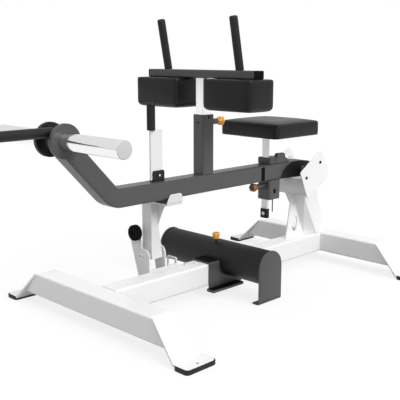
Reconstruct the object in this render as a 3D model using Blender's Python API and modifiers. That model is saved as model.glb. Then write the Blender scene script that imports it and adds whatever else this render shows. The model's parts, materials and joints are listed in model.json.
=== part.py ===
"""Plate-loaded seated calf raise machine: metres, +Z up, the user sits at +X and faces -X."""
import math

import bmesh
import bpy
from mathutils import Matrix, Vector

# Lengths run from the front face of the front beam, heights from the floor.
gap = 0.0003
running_gap = 0.0006

# Base
beam = 0.076
beam_wall = 0.004
beam_corner = 0.006
beam_low = 0.038
beam_top = beam_low + beam
rear_beam_x = 1.1236
base_length = rear_beam_x + beam
foot_tab_low = 0.009
foot_plate_thick = 0.006
foot_tab_top = foot_tab_low + foot_plate_thick
foot_tab_width = 0.107
foot_tab_length = 0.054
foot_hole_inset = 0.017
foot_top_half = 0.291
foot_fold_half = foot_top_half + beam_top - foot_tab_top
foot_tip_half = foot_fold_half + foot_tab_length
foot_hole_half = foot_tip_half - foot_hole_inset
rubber_margin = 0.003

# Pivot
pivot = Vector((1.0053, 0, 0.3866))
pivot_box_half = 0.078
pivot_plate_thick = 0.005
pivot_shaft_radius = 0.0125
bearing_bolt_spread = 0.0494
bearing_tilt = math.radians(31.4)
sheet_thick = 0.004

# Lever
lever_side = 0.060
lever_half = lever_side / 2
lever_wall = 0.003
lever_z = 0.3935
lever_top = lever_z + lever_half
lever_low = lever_z - lever_half
head = Vector((-0.088, 0, 0.5825))
lever_slope = math.radians(46.6)
lever_bend_x = head.x + (head.z - lever_z) / math.tan(lever_slope)
hub_radius = 0.031
disc_radius = 0.050
disc_thick = 0.0137
disc_outside = lever_half + gap + disc_thick
horn_radius = 0.025
horn_end = 0.297
bar_radius = 0.015
bar_z = 0.606
bar_front = -0.300
handle_x0 = 0.252
handle_x1 = 0.302
handle_bar_thick = 0.008
handle_bar_top = 0.586
handle_grip_radius = 0.0135
handle_grip_top = 0.672

# Thigh pads
post_side = 0.051
post_x = 0.4895
post_top = 0.623
inner_side = 0.040
crossbar_low = 0.743
crossbar_high = 0.769
crossbar_half = 0.2455
crossbar_x0 = 0.464
crossbar_x1 = 0.506
pad_x0 = 0.420
pad_x1 = 0.541
pad_inner = 0.058
pad_outer = 0.266
pad_low = 0.641
pad_high = crossbar_low - gap
thigh_travel_down = 0.100
thigh_pin_z = 0.5965
thigh_grip_x = 0.485
thigh_grip_y = 0.165
thigh_grip_lean = 0.033
thigh_grip_top = 0.934
thigh_grip_radius = 0.0135
boss_radius = 0.0100
boss_length = 0.038
pull_knob_radius = 0.0160
pull_knob_length = 0.028

# Seat
seat_post_x = 0.8155
seat_post_width = 0.028
seat_post_thick = 0.010
seat_post_low = 0.219
seat_front = 0.711
seat_rear = 0.962
seat_half = 0.138
seat_low = 0.529
seat_high = 0.585
housing_x0 = 0.805
housing_x1 = 0.868
housing_low = 0.2905
housing_corner = 0.008
seat_pin_z = 0.3415
cap_x0 = 0.805
cap_x1 = 0.8415
cap_height = 0.0230
stop_rear = 0.922
stop_block_height = 0.0365
stop_rod_x = 0.8455
stop_rod_y = -0.0115
stop_rod_low = 0.2385
stop_rod_radius = 0.0022

# Foot rest and latch
rest_x = 0.581
rest_cover_radius = 0.055
rest_cover_z = 0.121
rest_cover_low_z = 0.112
rest_half = 0.227
rest_far = 0.262
rest_plate_half_x = 0.057
rest_plate_thick = 0.005
rest_plate_top = 0.178
rest_floor = 0.0005
rest_flange = 0.031
rest_pin_offset = 0.028
carriage_x0 = 0.476
carriage_x1 = 0.640
runner_x0 = 0.464
runner_x1 = 0.620
runner_half = 0.075
runner_low = 0.022
runner_thick = 0.008
latch_y = 0.0767
latch_z = 0.1616
latch_x = 0.315
latch_post_x0 = 0.298
latch_post_low = 0.148
latch_post_y0 = 0.050
latch_post_y1 = 0.098
ear_front = 0.277
ear_rear = 0.352
clevis_rear = 0.402
clevis_top = 0.118
bumper_y = 0.097
bumper_z = 0.239
bumper_radius = 0.0265
bumper_length = 0.022
saddle_x0 = 0.290
saddle_x1 = 0.358
saddle_thick = 0.006
latch_pad_thick = 0.0134
lip_height = 0.0299

MATERIALS = {
    "frame_white": ((0.90, 0.90, 0.89), 0.0, 0.25),
    "lever_charcoal": ((0.085, 0.088, 0.095), 0.0, 0.40),
    "part_grey": ((0.11, 0.115, 0.12), 0.0, 0.45),
    "latch_silver": ((0.50, 0.50, 0.50), 0.6, 0.40),
    "handle_silver": ((0.75, 0.75, 0.76), 0.3, 0.30),
    "horn_chrome": ((0.80, 0.80, 0.81), 1.0, 0.12),
    "steel_black": ((0.020, 0.020, 0.022), 0.0, 0.35),
    "steel_zinc": ((0.62, 0.62, 0.60), 1.0, 0.35),
    "rubber_black": ((0.025, 0.025, 0.025), 0.0, 0.75),
    "plastic_black": ((0.020, 0.020, 0.022), 0.0, 0.45),
    "vinyl_black": ((0.022, 0.022, 0.024), 0.0, 0.50),
    "knob_orange": ((0.85, 0.30, 0.03), 0.0, 0.40),
}

for old in list(bpy.data.objects):
    bpy.data.objects.remove(old, do_unlink=True)

machine = bpy.data.collections.new("seated_calf_raise")
cutters = bpy.data.collections.new("cutters")
bpy.context.scene.collection.children.link(machine)
bpy.context.scene.collection.children.link(cutters)
cutters.hide_render = True

# Helpers

TURNS = {
    0: Matrix(((0, 0, 1), (1, 0, 0), (0, 1, 0))),
    1: Matrix(((1, 0, 0), (0, 0, -1), (0, 1, 0))),
    2: Matrix.Identity(3),
}


def material(slot):
    found = bpy.data.materials.get(slot)
    if found:
        return found
    colour, metallic, roughness = MATERIALS[slot]
    made = bpy.data.materials.new(slot)
    made.use_nodes = True
    shader = made.node_tree.nodes["Principled BSDF"]
    shader.inputs["Base Color"].default_value = (*colour, 1)
    shader.inputs["Metallic"].default_value = metallic
    shader.inputs["Roughness"].default_value = roughness
    return made


def place_mesh(name, mesh, slot=None, where=None):
    """Object in the machine's collection, or among the cutters if it has no material slot."""
    made = bpy.data.objects.new(name, mesh)
    if slot:
        mesh.materials.append(material(slot))
        machine.objects.link(made)
    else:
        cutters.objects.link(made)
        made.hide_render = True
        made.display_type = "WIRE"
    if where:
        made.matrix_world = where
    return made


def place_edit(name, edit, slot=None, where=None):
    mesh = bpy.data.meshes.new(name)
    edit.to_mesh(mesh)
    edit.free()
    return place_mesh(name, mesh, slot, where)


def toward(origin, direction):
    """Matrix that puts local +Z along a direction, from an origin."""
    turn = Vector((0, 0, 1)).rotation_difference(Vector(direction).normalized())
    return Matrix.Translation(origin) @ turn.to_matrix().to_4x4()


def smooth(made, angle=35):
    made.data.shade_smooth()
    made.data.set_sharp_from_angle(angle=math.radians(angle))
    return made


def bevel(made, width, segments=2, angle=35):
    change = made.modifiers.new("edge_round", "BEVEL")
    change.width = width
    change.segments = segments
    change.limit_method = "ANGLE"
    change.angle_limit = math.radians(angle)
    return made


def boolean(made, other, operation):
    change = made.modifiers.new(operation.lower(), "BOOLEAN")
    change.operation = operation
    change.solver = "EXACT"
    change.object = other
    return made


def cut(made, *others):
    for other in others:
        boolean(made, other, "DIFFERENCE")
    return made


def join(made, *others):
    for other in others:
        boolean(made, other, "UNION")
    return made


def box(name, low, high, slot=None):
    low, high = Vector(low), Vector(high)
    edit = bmesh.new()
    bmesh.ops.create_cube(edit, size=1, matrix=Matrix.Diagonal((*(high - low), 1)))
    return place_edit(name, edit, slot, Matrix.Translation((low + high) / 2))


def half_space(name, point, normal, size=0.5):
    """Cutter that takes off all that lies beyond a plane."""
    edit = bmesh.new()
    middle = Matrix.Translation((0, 0, size / 2))
    bmesh.ops.create_cube(edit, size=size, matrix=middle)
    return place_edit(name, edit, None, toward(point, normal))


def rod(name, start, end, radius, slot=None, segments=24, chamfer=0.0):
    start, end = Vector(start), Vector(end)
    edit = bmesh.new()
    bmesh.ops.create_cone(
        edit,
        cap_ends=True,
        segments=segments,
        radius1=radius,
        radius2=radius,
        depth=(end - start).length,
    )
    made = place_edit(name, edit, slot, toward((start + end) / 2, end - start))
    if slot:
        smooth(made)
    if chamfer:
        bevel(made, chamfer, 2, 60)
    return made


def rounded_outline(u0, u1, v0, v1, radius, segments=4):
    points = []
    for cu, cv, start in (
        (u1 - radius, v1 - radius, 0),
        (u0 + radius, v1 - radius, 90),
        (u0 + radius, v0 + radius, 180),
        (u1 - radius, v0 + radius, 270),
    ):
        for step in range(segments + 1):
            turn = math.radians(start + 90 * step / segments)
            points.append((cu + radius * math.cos(turn), cv + radius * math.sin(turn)))
    return points


def arc(centre, radius, start, end, steps):
    return [
        (
            centre[0] + radius * math.cos(math.radians(start + (end - start) * k / steps)),
            centre[1] + radius * math.sin(math.radians(start + (end - start) * k / steps)),
        )
        for k in range(steps + 1)
    ]


def curve_to_solid(name, guide, slot):
    """Mesh made from a curve, its caps welded on."""
    cutters.objects.link(guide)
    bpy.context.view_layer.update()
    graph = bpy.context.evaluated_depsgraph_get()
    mesh = bpy.data.meshes.new_from_object(guide.evaluated_get(graph))
    edit = bmesh.new()
    edit.from_mesh(mesh)
    bmesh.ops.remove_doubles(edit, verts=edit.verts, dist=1e-6)
    bmesh.ops.dissolve_limit(
        edit, angle_limit=0.002, verts=edit.verts[:], edges=edit.edges[:]
    )
    bmesh.ops.recalc_face_normals(edit, faces=edit.faces)
    edit.to_mesh(mesh)
    edit.free()
    mesh.materials.clear()
    where = guide.matrix_world.copy()
    curve = guide.data
    bpy.data.objects.remove(guide, do_unlink=True)
    bpy.data.curves.remove(curve)
    return place_mesh(name, mesh, slot, where)


def slab(name, outline, axis, start, end, slot=None):
    """Flat outline of a given thickness, square to one axis."""
    curve = bpy.data.curves.new(name, "CURVE")
    curve.dimensions = "2D"
    curve.fill_mode = "BOTH"
    curve.extrude = abs(end - start) / 2
    spline = curve.splines.new("POLY")
    spline.points.add(len(outline) - 1)
    for point, (u, v) in zip(spline.points, outline):
        point.co = (u, v, 0, 1)
    spline.use_cyclic_u = True
    guide = bpy.data.objects.new(name + "_outline", curve)
    middle = Vector((0, 0, 0))
    middle[axis] = (start + end) / 2
    guide.matrix_world = Matrix.Translation(middle) @ TURNS[axis].to_4x4()
    return curve_to_solid(name, guide, slot)


def rounded_box(name, low, high, radius, axis, slot=None, segments=3):
    """Box whose four edges along one axis are rounded."""
    u, v = [i for i in range(3) if i != axis]
    outline = rounded_outline(low[u], high[u], low[v], high[v], radius, segments)
    return slab(name, outline, axis, low[axis], high[axis], slot)


def round_bar(name, points, radius, slot):
    """Bar along a line of points, with flat ends."""
    curve = bpy.data.curves.new(name, "CURVE")
    curve.dimensions = "3D"
    curve.bevel_depth = radius
    curve.bevel_resolution = 4
    curve.use_fill_caps = True
    spline = curve.splines.new("POLY")
    spline.points.add(len(points) - 1)
    for point, place in zip(spline.points, points):
        point.co = (*place, 1)
    guide = bpy.data.objects.new(name + "_line", curve)
    return smooth(curve_to_solid(name, guide, slot))


def turned(name, profile, origin, direction, slot=None, segments=24, ring=False):
    """Turned shape: profile is (radius, distance along direction), from axis to axis or a ring."""
    loop = profile + profile[:1]
    area = sum(a[0] * b[1] - b[0] * a[1] for a, b in zip(loop, loop[1:]))
    if area > 0:
        profile = profile[::-1]
    count = len(profile)
    edges = [(i, i + 1) for i in range(count - 1)]
    if ring:
        edges.append((count - 1, 0))
    mesh = bpy.data.meshes.new(name)
    mesh.from_pydata([(r, 0, s) for r, s in profile], edges, [])
    made = place_mesh(name, mesh, slot, toward(origin, direction))
    screw = made.modifiers.new("turn", "SCREW")
    screw.axis = "Z"
    screw.steps = screw.render_steps = segments
    screw.use_merge_vertices = True
    screw.merge_threshold = 0.00001
    screw.use_smooth_shade = True
    return made


def pipe(name, start, end, radius, inner, slot, segments=24, closed=False):
    """Round tube from start to end. A closed one has a wall across its far end."""
    start, end = Vector(start), Vector(end)
    length = (end - start).length
    soft = 0.0012
    if closed:
        profile = [
            (0, length - (radius - inner)),
            (inner, length - (radius - inner)),
            (inner, 0),
            (radius, 0),
            (radius, length - 2 * soft),
            (radius - 0.6 * soft, length - 0.6 * soft),
            (radius - 2 * soft, length),
            (0, length),
        ]
    else:
        profile = [(inner, 0), (radius, 0), (radius, length), (inner, length)]
    return turned(name, profile, start, end - start, slot, segments, ring=not closed)


def bolt(name, seat, direction, head_radius, head_height, shank_radius, shank, slot=None):
    """Round-headed screw with a socket: seat is the point under its head."""
    profile = [
        (0, -shank),
        (shank_radius, -shank),
        (shank_radius, 0),
        (head_radius, 0),
        (head_radius, head_height * 0.55),
        (head_radius * 0.8, head_height),
        (head_radius * 0.45, head_height),
        (head_radius * 0.40, head_height * 0.45),
        (0, head_height * 0.45),
    ]
    return turned(name, profile, seat, direction, slot, 14)


def surface(points, closed):
    """Line of edges from which a surface is drawn out with extend."""
    edit = bmesh.new()
    verts = [edit.verts.new(p) for p in points]
    pairs = list(zip(verts, verts[1:])) + ([(verts[-1], verts[0])] if closed else [])
    return edit, [edit.edges.new(pair) for pair in pairs]


def extend(edit, edges, matrix):
    grown = bmesh.ops.extrude_edge_only(edit, edges=edges)["geom"]
    verts = {part for part in grown if isinstance(part, bmesh.types.BMVert)}
    bmesh.ops.transform(edit, matrix=matrix, verts=list(verts))
    return [
        part
        for part in grown
        if isinstance(part, bmesh.types.BMEdge) and set(part.verts) <= verts
    ]


def thicken(name, edit, wall, slot, inside=None):
    """Solid sheet: the surface drawn is its outer face, and the sheet grows inwards."""
    bmesh.ops.recalc_face_normals(edit, faces=edit.faces)
    edit.faces.ensure_lookup_table()
    if inside is not None:
        face = edit.faces[0]
        if face.normal.dot(Vector(inside) - face.calc_center_median()) > 0:
            bmesh.ops.reverse_faces(edit, faces=edit.faces)
    made = smooth(place_edit(name, edit, slot))
    change = made.modifiers.new("wall", "SOLIDIFY")
    change.thickness = wall
    change.offset = -1
    change.use_even_offset = True
    return made


def square_tube(name, axis, start, end, middle, sides, wall, corner, slot):
    (u, v), (wide, high) = middle, sides
    outline = rounded_outline(
        u - wide / 2, u + wide / 2, v - high / 2, v + high / 2, corner, 3
    )
    along = Vector((0, 0, 0))
    along[axis] = 1
    ring = []
    for a, b in outline:
        point = [a, b]
        point.insert(axis, start)
        ring.append(point)
    edit, edges = surface(ring, True)
    extend(edit, edges, Matrix.Translation(along * (end - start)))
    centre = [u, v]
    centre.insert(axis, (start + end) / 2)
    return thicken(name, edit, wall, slot, centre)


def sheet(name, path, thickness, half_width, slot, inside):
    """Sheet that runs the same all along Y: path is its outer line in X and Z."""
    edit, edges = surface([(x, -half_width, z) for x, z in path], False)
    extend(edit, edges, Matrix.Translation((0, 2 * half_width, 0)))
    return thicken(name, edit, thickness, slot, inside)


# Base: two cross beams on angled foot plates, joined by a spine


def cross_beam(name, x0):
    tube = square_tube(
        name,
        1,
        -foot_fold_half,
        foot_fold_half,
        (x0 + beam / 2, beam_low + beam / 2),
        (beam, beam),
        beam_wall,
        beam_corner,
        "frame_white",
    )
    cut_half = foot_top_half - (foot_plate_thick + gap) * math.sqrt(2)
    for side in (-1, 1):
        point = (x0 + beam / 2, side * cut_half, beam_top)
        cut(tube, half_space(f"{name}_end_{side}", point, (0, side, 1)))
    return tube


def foot_plate(name, x_mid, side):
    """Plate that closes the cut end of a beam and bends flat into a bolt-down tab."""
    slope = math.sqrt(2) * (foot_fold_half - foot_top_half)
    half_top, half_tab = beam / 2, foot_tab_width / 2
    corner = 0.012
    tip = slope + foot_tip_half - foot_fold_half
    edge = [(0, half_top), (slope, half_tab)]
    edge += arc((tip - corner, half_tab - corner), corner, 90, 0, 3)
    outline = edge + [(s, -w) for s, w in edge[::-1]]
    tab_top = foot_tab_top
    edit = bmesh.new()
    edit.faces.new(
        edit.verts.new((x_mid + w, side * (foot_fold_half + s - slope), tab_top))
        for s, w in outline
    )
    fold = Vector((x_mid, side * foot_fold_half, tab_top))
    everything = edit.verts[:] + edit.edges[:] + edit.faces[:]
    bmesh.ops.bisect_plane(edit, geom=everything, dist=1e-6, plane_co=fold, plane_no=(0, 1, 0))
    inner = [v for v in edit.verts if abs(v.co.y) < foot_fold_half - 1e-6]
    turn = Matrix.Rotation(math.radians(-45 * side), 3, "X")
    bmesh.ops.rotate(edit, verts=inner, cent=fold, matrix=turn)
    plate = thicken(name, edit, foot_plate_thick, "frame_white", (x_mid, 0, 0))
    return cut(plate, floor_hole(name, x_mid, side))


def floor_hole(name, x_mid, side):
    y = side * foot_hole_half
    return rod(name + "_hole", (x_mid, y, -0.01), (x_mid, y, 0.03), 0.0045, segments=14)


def rubber_foot(name, x_mid, side):
    """Rubber boot under a foot tab, with a thin rim around the tab's free edges."""
    half = foot_tab_width / 2 + rubber_margin
    y0, y1 = foot_fold_half + 0.001, foot_tip_half + rubber_margin
    low = (x_mid - half, min(side * y0, side * y1), 0)
    high = (x_mid + half, max(side * y0, side * y1), foot_tab_top - 0.0010)
    pad = rounded_box(name, low, high, 0.012, 2, "rubber_black")
    pocket_half = foot_tab_width / 2 + gap
    p0, p1 = sorted((side * (foot_fold_half - 0.03), side * (foot_tip_half + gap)))
    pocket = rounded_box(
        name + "_pocket",
        (x_mid - pocket_half, p0, foot_tab_low - gap),
        (x_mid + pocket_half, p1, foot_tab_top + 0.01),
        0.012,
        2,
    )
    return cut(bevel(pad, 0.0012, 1, 60), pocket, floor_hole(name, x_mid, side))


for where, x0 in (("front", 0.0), ("rear", rear_beam_x)):
    cross_beam(f"{where}_cross_beam", x0)
    for hand, side in (("left", -1), ("right", 1)):
        foot_plate(f"{where}_foot_plate_{hand}", x0 + beam / 2, side)
        rubber_foot(f"{where}_rubber_foot_{hand}", x0 + beam / 2, side)

spine = square_tube(
    "spine",
    0,
    beam + gap,
    rear_beam_x - gap,
    (0, beam_low + beam / 2),
    (beam, beam),
    beam_wall,
    beam_corner,
    "frame_white",
)
for name, x, y in (("stop_bolt_front", 0.420, 0.0165), ("stop_bolt_rear", 0.455, 0.001)):
    hole = rod(name + "_hole", (x, y, beam_top - 0.012), (x, y, beam_top + 0.01), 0.0034)
    cut(spine, hole)
    bolt(name, (x, y, beam_top + gap), (0, 0, 1), 0.006, 0.004, 0.003, 0.011, "steel_zinc")

# Pylon: folded sheet from the spine up to the pivot box
box_front_top = Vector((0.9409, 0.352))
box_outline = [
    (0.928, 0.380),
    (0.9700, 0.2890),
    (0.9750, 0.2838),
    (0.9820, 0.2818),
    (0.9895, 0.2821),
    (1.0945, 0.3465),
    (1.1016, 0.3530),
    (1.1040, 0.3620),
    (1.1032, 0.3720),
    (1.0922, 0.3990),
    (1.0730, 0.4314),
    (1.0550, 0.4520),
    (1.0510, 0.4555),
    (1.0450, 0.4568),
    (1.0400, 0.4550),
    (0.9310, 0.3865),
    (0.9285, 0.3835),
]
pylon_base = [(1.056, 0.0), (1.097, -0.036), (1.145, -0.036), (1.145, 0.036), (1.097, 0.036)]
pylon_top = [(0.992, 0.0), (0.998, -0.0453), (1.083, -0.0453), (1.083, 0.0453), (0.998, 0.0453)]
pylon_top_z = 0.275
web_base_x = 0.9430
web_top_x = 0.9720
web_thick = 0.005
web_window = [
    (1.0035, 0.1990),
    (0.9930, 0.1790),
    (0.9815, 0.1560),
    (0.9835, 0.1455),
    (0.9910, 0.1370),
    (1.0000, 0.1350),
    (1.0080, 0.1490),
    (1.0110, 0.1730),
    (1.0085, 0.1900),
]
pylon_wall = 0.004
pylon_low = beam_top + gap
box_low_slope = math.atan2(0.3465 - 0.2821, 1.0945 - 0.9895)


def pylon_ring(level):
    """Corners of the folded sheet at one height, each on its own straight fold."""
    share = (level - beam_top) / (pylon_top_z - beam_top)
    return [
        (x0 + (x1 - x0) * share, y0 + (y1 - y0) * share, level)
        for (x0, y0), (x1, y1) in zip(pylon_base, pylon_top)
    ]


def pylon_under(height):
    """Corners of the folded sheet where it meets a plane along the box's bottom."""
    ring = []
    slope = math.tan(box_low_slope)
    for (x0, y0, _), (x1, y1, _) in zip(pylon_ring(beam_top), pylon_ring(pylon_top_z)):
        rise = pylon_top_z - beam_top
        lean = (x1 - x0) / rise
        z = (height + slope * (x0 - lean * beam_top - 0.9895)) / (1 - slope * lean)
        share = (z - beam_top) / rise
        ring.append((x0 + (x1 - x0) * share, y0 + (y1 - y0) * share, z))
    return ring


edit = bmesh.new()
lower, upper = [
    [edit.verts.new(point) for point in ring]
    for ring in (pylon_ring(beam_top - 0.010), pylon_under(0.288))
]
rings = [[edit.edges.new((r[i - 1], r[i])) for i in range(5)] for r in (lower, upper)]
bmesh.ops.bridge_loops(edit, edges=rings[0] + rings[1])
pylon_middle = ((pylon_base[0][0] + pylon_base[2][0]) / 2, 0, (beam_top + pylon_top_z) / 2)
pylon = thicken("pylon", edit, pylon_wall, "frame_white", pylon_middle)
under_box = Vector((0.9895, 0, 0.2821 - gap * 1.3))
cut(
    pylon,
    half_space("pylon_foot_cutter", (pylon_middle[0], 0, pylon_low), (0, 0, -1)),
    half_space(
        "pylon_top_cutter", under_box, (-math.sin(box_low_slope), 0, math.cos(box_low_slope))
    ),
)
web_lean = (web_top_x - web_base_x) / (pylon_top_z - beam_top)
pylon_lean = (pylon_top[0][0] - pylon_base[0][0]) / (pylon_top_z - beam_top)
under_slope = math.tan(box_low_slope)


def web_corner(x, lean, sink):
    """Where a leaning edge of the web, at x on the spine, reaches the box's bottom."""
    z = (under_box.z + under_slope * (x - lean * beam_top - under_box.x) + sink)
    z /= 1 - under_slope * lean
    return (x + lean * (z - beam_top), z)


web_rear = pylon_base[0][0] + pylon_wall * 0.6
web = slab(
    "pylon_web",
    [
        (web_base_x, pylon_low),
        (web_rear, pylon_low),
        web_corner(web_rear, pylon_lean, 0),
        web_corner(web_base_x, web_lean, 0),
    ],
    1,
    -web_thick / 2,
    web_thick / 2,
)
cut(web, slab("pylon_window", web_window, 1, -0.02, 0.02))
join(pylon, web)

# Pivot box: front and bottom sheet, two end plates with flange bearings
sheet_half = pivot_box_half - pivot_plate_thick - gap
front_low = Vector((0.9700, 0.2890))
front_slope = (front_low - box_front_top).normalized()
front_in = Vector((-front_slope.y, front_slope.x))
front_sagitta = 0.0077
front_chord = 0.066
sheet_path = []
for step in range(9):
    share = step / 8
    sink = front_sagitta * (2 * share - 1) ** 2 + 0.0006
    point = box_front_top + front_slope * front_chord * share + front_in * sink
    sheet_path.append((point.x, point.y))
sheet_path += [(0.9920, 0.2840)] + box_outline[5:7]
sheet("pivot_box_sheet", sheet_path, sheet_thick, sheet_half, "frame_white", pivot)
tilt_axis = Vector((math.cos(bearing_tilt), 0, math.sin(bearing_tilt)))
for hand, side in (("left", -1), ("right", 1)):
    outer = side * pivot_box_half
    inner = side * (pivot_box_half - pivot_plate_thick)
    plate = slab(
        f"pivot_end_plate_{hand}", box_outline, 1, min(outer, inner), max(outer, inner), "frame_white"
    )
    bevel(plate, 0.0018, 2, 60)
    face = inner - side * gap
    bearing = turned(
        f"flange_bearing_{hand}",
        [(0, 0), (0.034, 0), (0.034, 0.010), (0.024, 0.014), (0.024, 0.024), (0, 0.024)],
        (pivot.x, face, pivot.z),
        (0, -side, 0),
        "plastic_black" if side < 0 else "steel_zinc",
        28,
    )
    tilt = math.degrees(bearing_tilt)
    ends = [pivot + tilt_axis * s * bearing_bolt_spread for s in (-1, 1)]
    ear_line = arc((ends[0].x, ends[0].z), 0.0105, tilt + 90, tilt + 270, 6)
    ear_line += arc((ends[1].x, ends[1].z), 0.0105, tilt - 90, tilt + 90, 6)
    y0, y1 = sorted((face, face - side * 0.009))
    ears = slab(f"bearing_ears_{hand}", ear_line, 1, y0, y1)
    join(bearing, ears)
    bore = rod(
        f"bearing_bore_{hand}",
        (pivot.x, face - side * 0.05, pivot.z),
        (pivot.x, face + side * 0.05, pivot.z),
        pivot_shaft_radius + gap,
    )
    cut(bearing, bore)
    for end, s in (("front", -1), ("rear", 1)):
        centre = pivot + tilt_axis * s * bearing_bolt_spread
        hole = rod(
            f"bearing_bolt_hole_{hand}_{end}",
            (centre.x, face - side * 0.03, centre.z),
            (centre.x, outer + side * 0.03, centre.z),
            0.0046,
            segments=14,
        )
        cut(plate, hole)
        stud = bolt(
            f"bearing_stud_{hand}_{end}",
            (centre.x, outer + side * gap, centre.z),
            (0, side, 0),
            0.0060,
            0.0030,
            0.0042,
            0.012,
        )
        join(bearing, stud)
shaft_half = sheet_half - 0.002
rod(
    "pivot_shaft",
    (pivot.x, -shaft_half, pivot.z),
    (pivot.x, shaft_half, pivot.z),
    pivot_shaft_radius,
    "steel_zinc",
    chamfer=0.001,
)

# Lever: square tube from the pivot forward, bent up to the loading head


lever_rear = 0.948
bend_radius = 0.058
bend_steps = 6
bend_reach = bend_radius * math.tan(lever_slope / 2)
bend_centre = Vector((lever_bend_x + bend_reach, 0, lever_z + bend_radius))
head_direction = Vector((-math.cos(lever_slope), 0, math.sin(lever_slope)))
slope_length = (head - Vector((lever_bend_x, 0, lever_z))).length - bend_reach - 0.004
lever_ring = rounded_outline(
    -lever_half, lever_half, lever_z - lever_half, lever_z + lever_half, 0.007, 3
)
edit, edges = surface([(lever_rear, y, z) for y, z in lever_ring], True)
edges = extend(edit, edges, Matrix.Translation((bend_centre.x - lever_rear, 0, 0)))
bend_step = (
    Matrix.Translation(bend_centre)
    @ Matrix.Rotation(lever_slope / bend_steps, 4, "Y")
    @ Matrix.Translation(-bend_centre)
)
for step in range(bend_steps):
    edges = extend(edit, edges, bend_step)
extend(edit, edges, Matrix.Translation(head_direction * slope_length))
lever = thicken("lever_arm", edit, lever_wall, "lever_charcoal")
arc_centre = (0.950, 0.3285)
arc_radius = 0.0925
cut(
    lever,
    rod(
        "lever_rear_cutter",
        (arc_centre[0], -0.06, arc_centre[1]),
        (arc_centre[0], 0.06, arc_centre[1]),
        arc_radius,
        segments=48,
    ),
    rod(
        "lever_head_cutter",
        (head.x, -0.06, head.z),
        (head.x, 0.06, head.z),
        hub_radius + 0.0004,
        segments=36,
    ),
)
post_hole_half_x = seat_post_thick / 2 + running_gap
post_hole_half_y = seat_post_width / 2 + running_gap
cut(
    lever,
    box(
        "lever_post_hole",
        (seat_post_x - post_hole_half_x, -post_hole_half_y, lever_low - 0.02),
        (seat_post_x + post_hole_half_x, post_hole_half_y, lever_top + 0.02),
    ),
)
band_x0, band_x1, band_thick = 0.757, 0.777, 0.0012
cut(
    lever,
    box(
        "lever_groove_left",
        (band_x0, -lever_half - 0.01, lever_low - 0.01),
        (band_x1, -lever_half + band_thick, lever_top + 0.01),
    ),
)
box(
    "lever_joint_strip",
    (band_x0 + gap, -lever_half + 0.0002, lever_low + 0.0040),
    (band_x1 - gap, -lever_half + band_thick - gap, lever_top - 0.0072),
    "rubber_black",
)

# Black rear end of the lever, bored for the pivot shaft
knuckle_side = lever_half - 0.0006
arc_points = [
    p
    for p in arc(arc_centre, arc_radius - 0.0005, 162, 92, 12)
    if lever_low <= p[1] <= lever_top
]
knuckle_outline = [(0.8650, lever_low + 0.0004)] + arc_points
knuckle_outline.append((0.9838, 0.4214))
knuckle_outline += arc((1.0340, 0.4035), 0.012, 80, 0, 4)
knuckle_outline += arc((1.0170, pivot.z), 0.029, -10, -90, 6)
knuckle = slab("lever_knuckle", knuckle_outline, 1, -knuckle_side, knuckle_side, "plastic_black")
tongue_half = lever_half - lever_wall - running_gap
tongue = rounded_box(
    "knuckle_tongue",
    (0.8680, -tongue_half, lever_z - tongue_half),
    (0.9550, tongue_half, lever_z + tongue_half),
    0.0055,
    0,
)
join(knuckle, tongue)
cut(
    knuckle,
    rod(
        "knuckle_bore",
        (pivot.x, -0.06, pivot.z),
        (pivot.x, 0.06, pivot.z),
        pivot_shaft_radius + gap,
    ),
)

# Loading head: hub with two stop discs, plate horns and the front bar
hub_bore = horn_radius + gap
hub_profile = [
    (hub_bore, -disc_outside),
    (disc_radius - 0.002, -disc_outside),
    (disc_radius, -disc_outside + 0.002),
    (disc_radius, -lever_half - gap - 0.0015),
    (disc_radius - 0.0015, -lever_half - gap),
    (hub_radius, -lever_half - gap),
    (hub_radius, lever_half + gap),
    (disc_radius - 0.0015, lever_half + gap),
    (disc_radius, lever_half + gap + 0.0015),
    (disc_radius, disc_outside - 0.002),
    (disc_radius - 0.002, disc_outside),
    (hub_bore, disc_outside),
]
turned("loading_head", hub_profile, head, (0, 1, 0), "part_grey", 36, ring=True)
for hand, side in (("left", -1), ("right", 1)):
    pipe(
        f"plate_horn_{hand}",
        (head.x, side * gap * 2, head.z),
        (head.x, side * horn_end, head.z),
        horn_radius,
        horn_radius - 0.0035,
        "horn_chrome",
        28,
        closed=True,
    )
bar_wall = 0.0025
front_bar = pipe(
    "front_bar",
    (head.x - 0.017, 0, bar_z),
    (bar_front, 0, bar_z),
    bar_radius,
    bar_radius - bar_wall,
    "steel_black",
    20,
    closed=True,
)
cut(
    front_bar,
    rod(
        "front_bar_cutter",
        (head.x, -0.06, head.z),
        (head.x, 0.06, head.z),
        hub_radius + 0.0004,
        segments=36,
    ),
)
# Handle in front of the thigh pads: flat bar in a bracket, with a round grip on top
half_bar = handle_bar_thick / 2
cheek = half_bar + gap
bracket_low = lever_top + gap
bracket = slab(
    "handle_bracket",
    [
        (-cheek - 0.004, bracket_low),
        (cheek + 0.004, bracket_low),
        (cheek + 0.004, bracket_low + 0.034),
        (cheek, bracket_low + 0.034),
        (cheek, bracket_low + 0.004),
        (-cheek, bracket_low + 0.004),
        (-cheek, bracket_low + 0.034),
        (-cheek - 0.004, bracket_low + 0.034),
    ],
    0,
    handle_x0 + 0.005,
    handle_x1 + 0.003,
    "plastic_black",
)
bracket_face = rounded_outline(
    handle_x0 + 0.004, handle_x1 + 0.004, lever_top - 0.02, bracket_low + 0.035, 0.010, 5
)
shape_block = slab("bracket_shape", bracket_face, 1, -0.03, 0.03)
boolean(bracket, shape_block, "INTERSECT")
bolt_x, bolt_z = handle_x0 + 0.030, lever_top + 0.019
bracket_hole = rod("bracket_hole", (bolt_x, -0.03, bolt_z), (bolt_x, 0.03, bolt_z), 0.0034)
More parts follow.
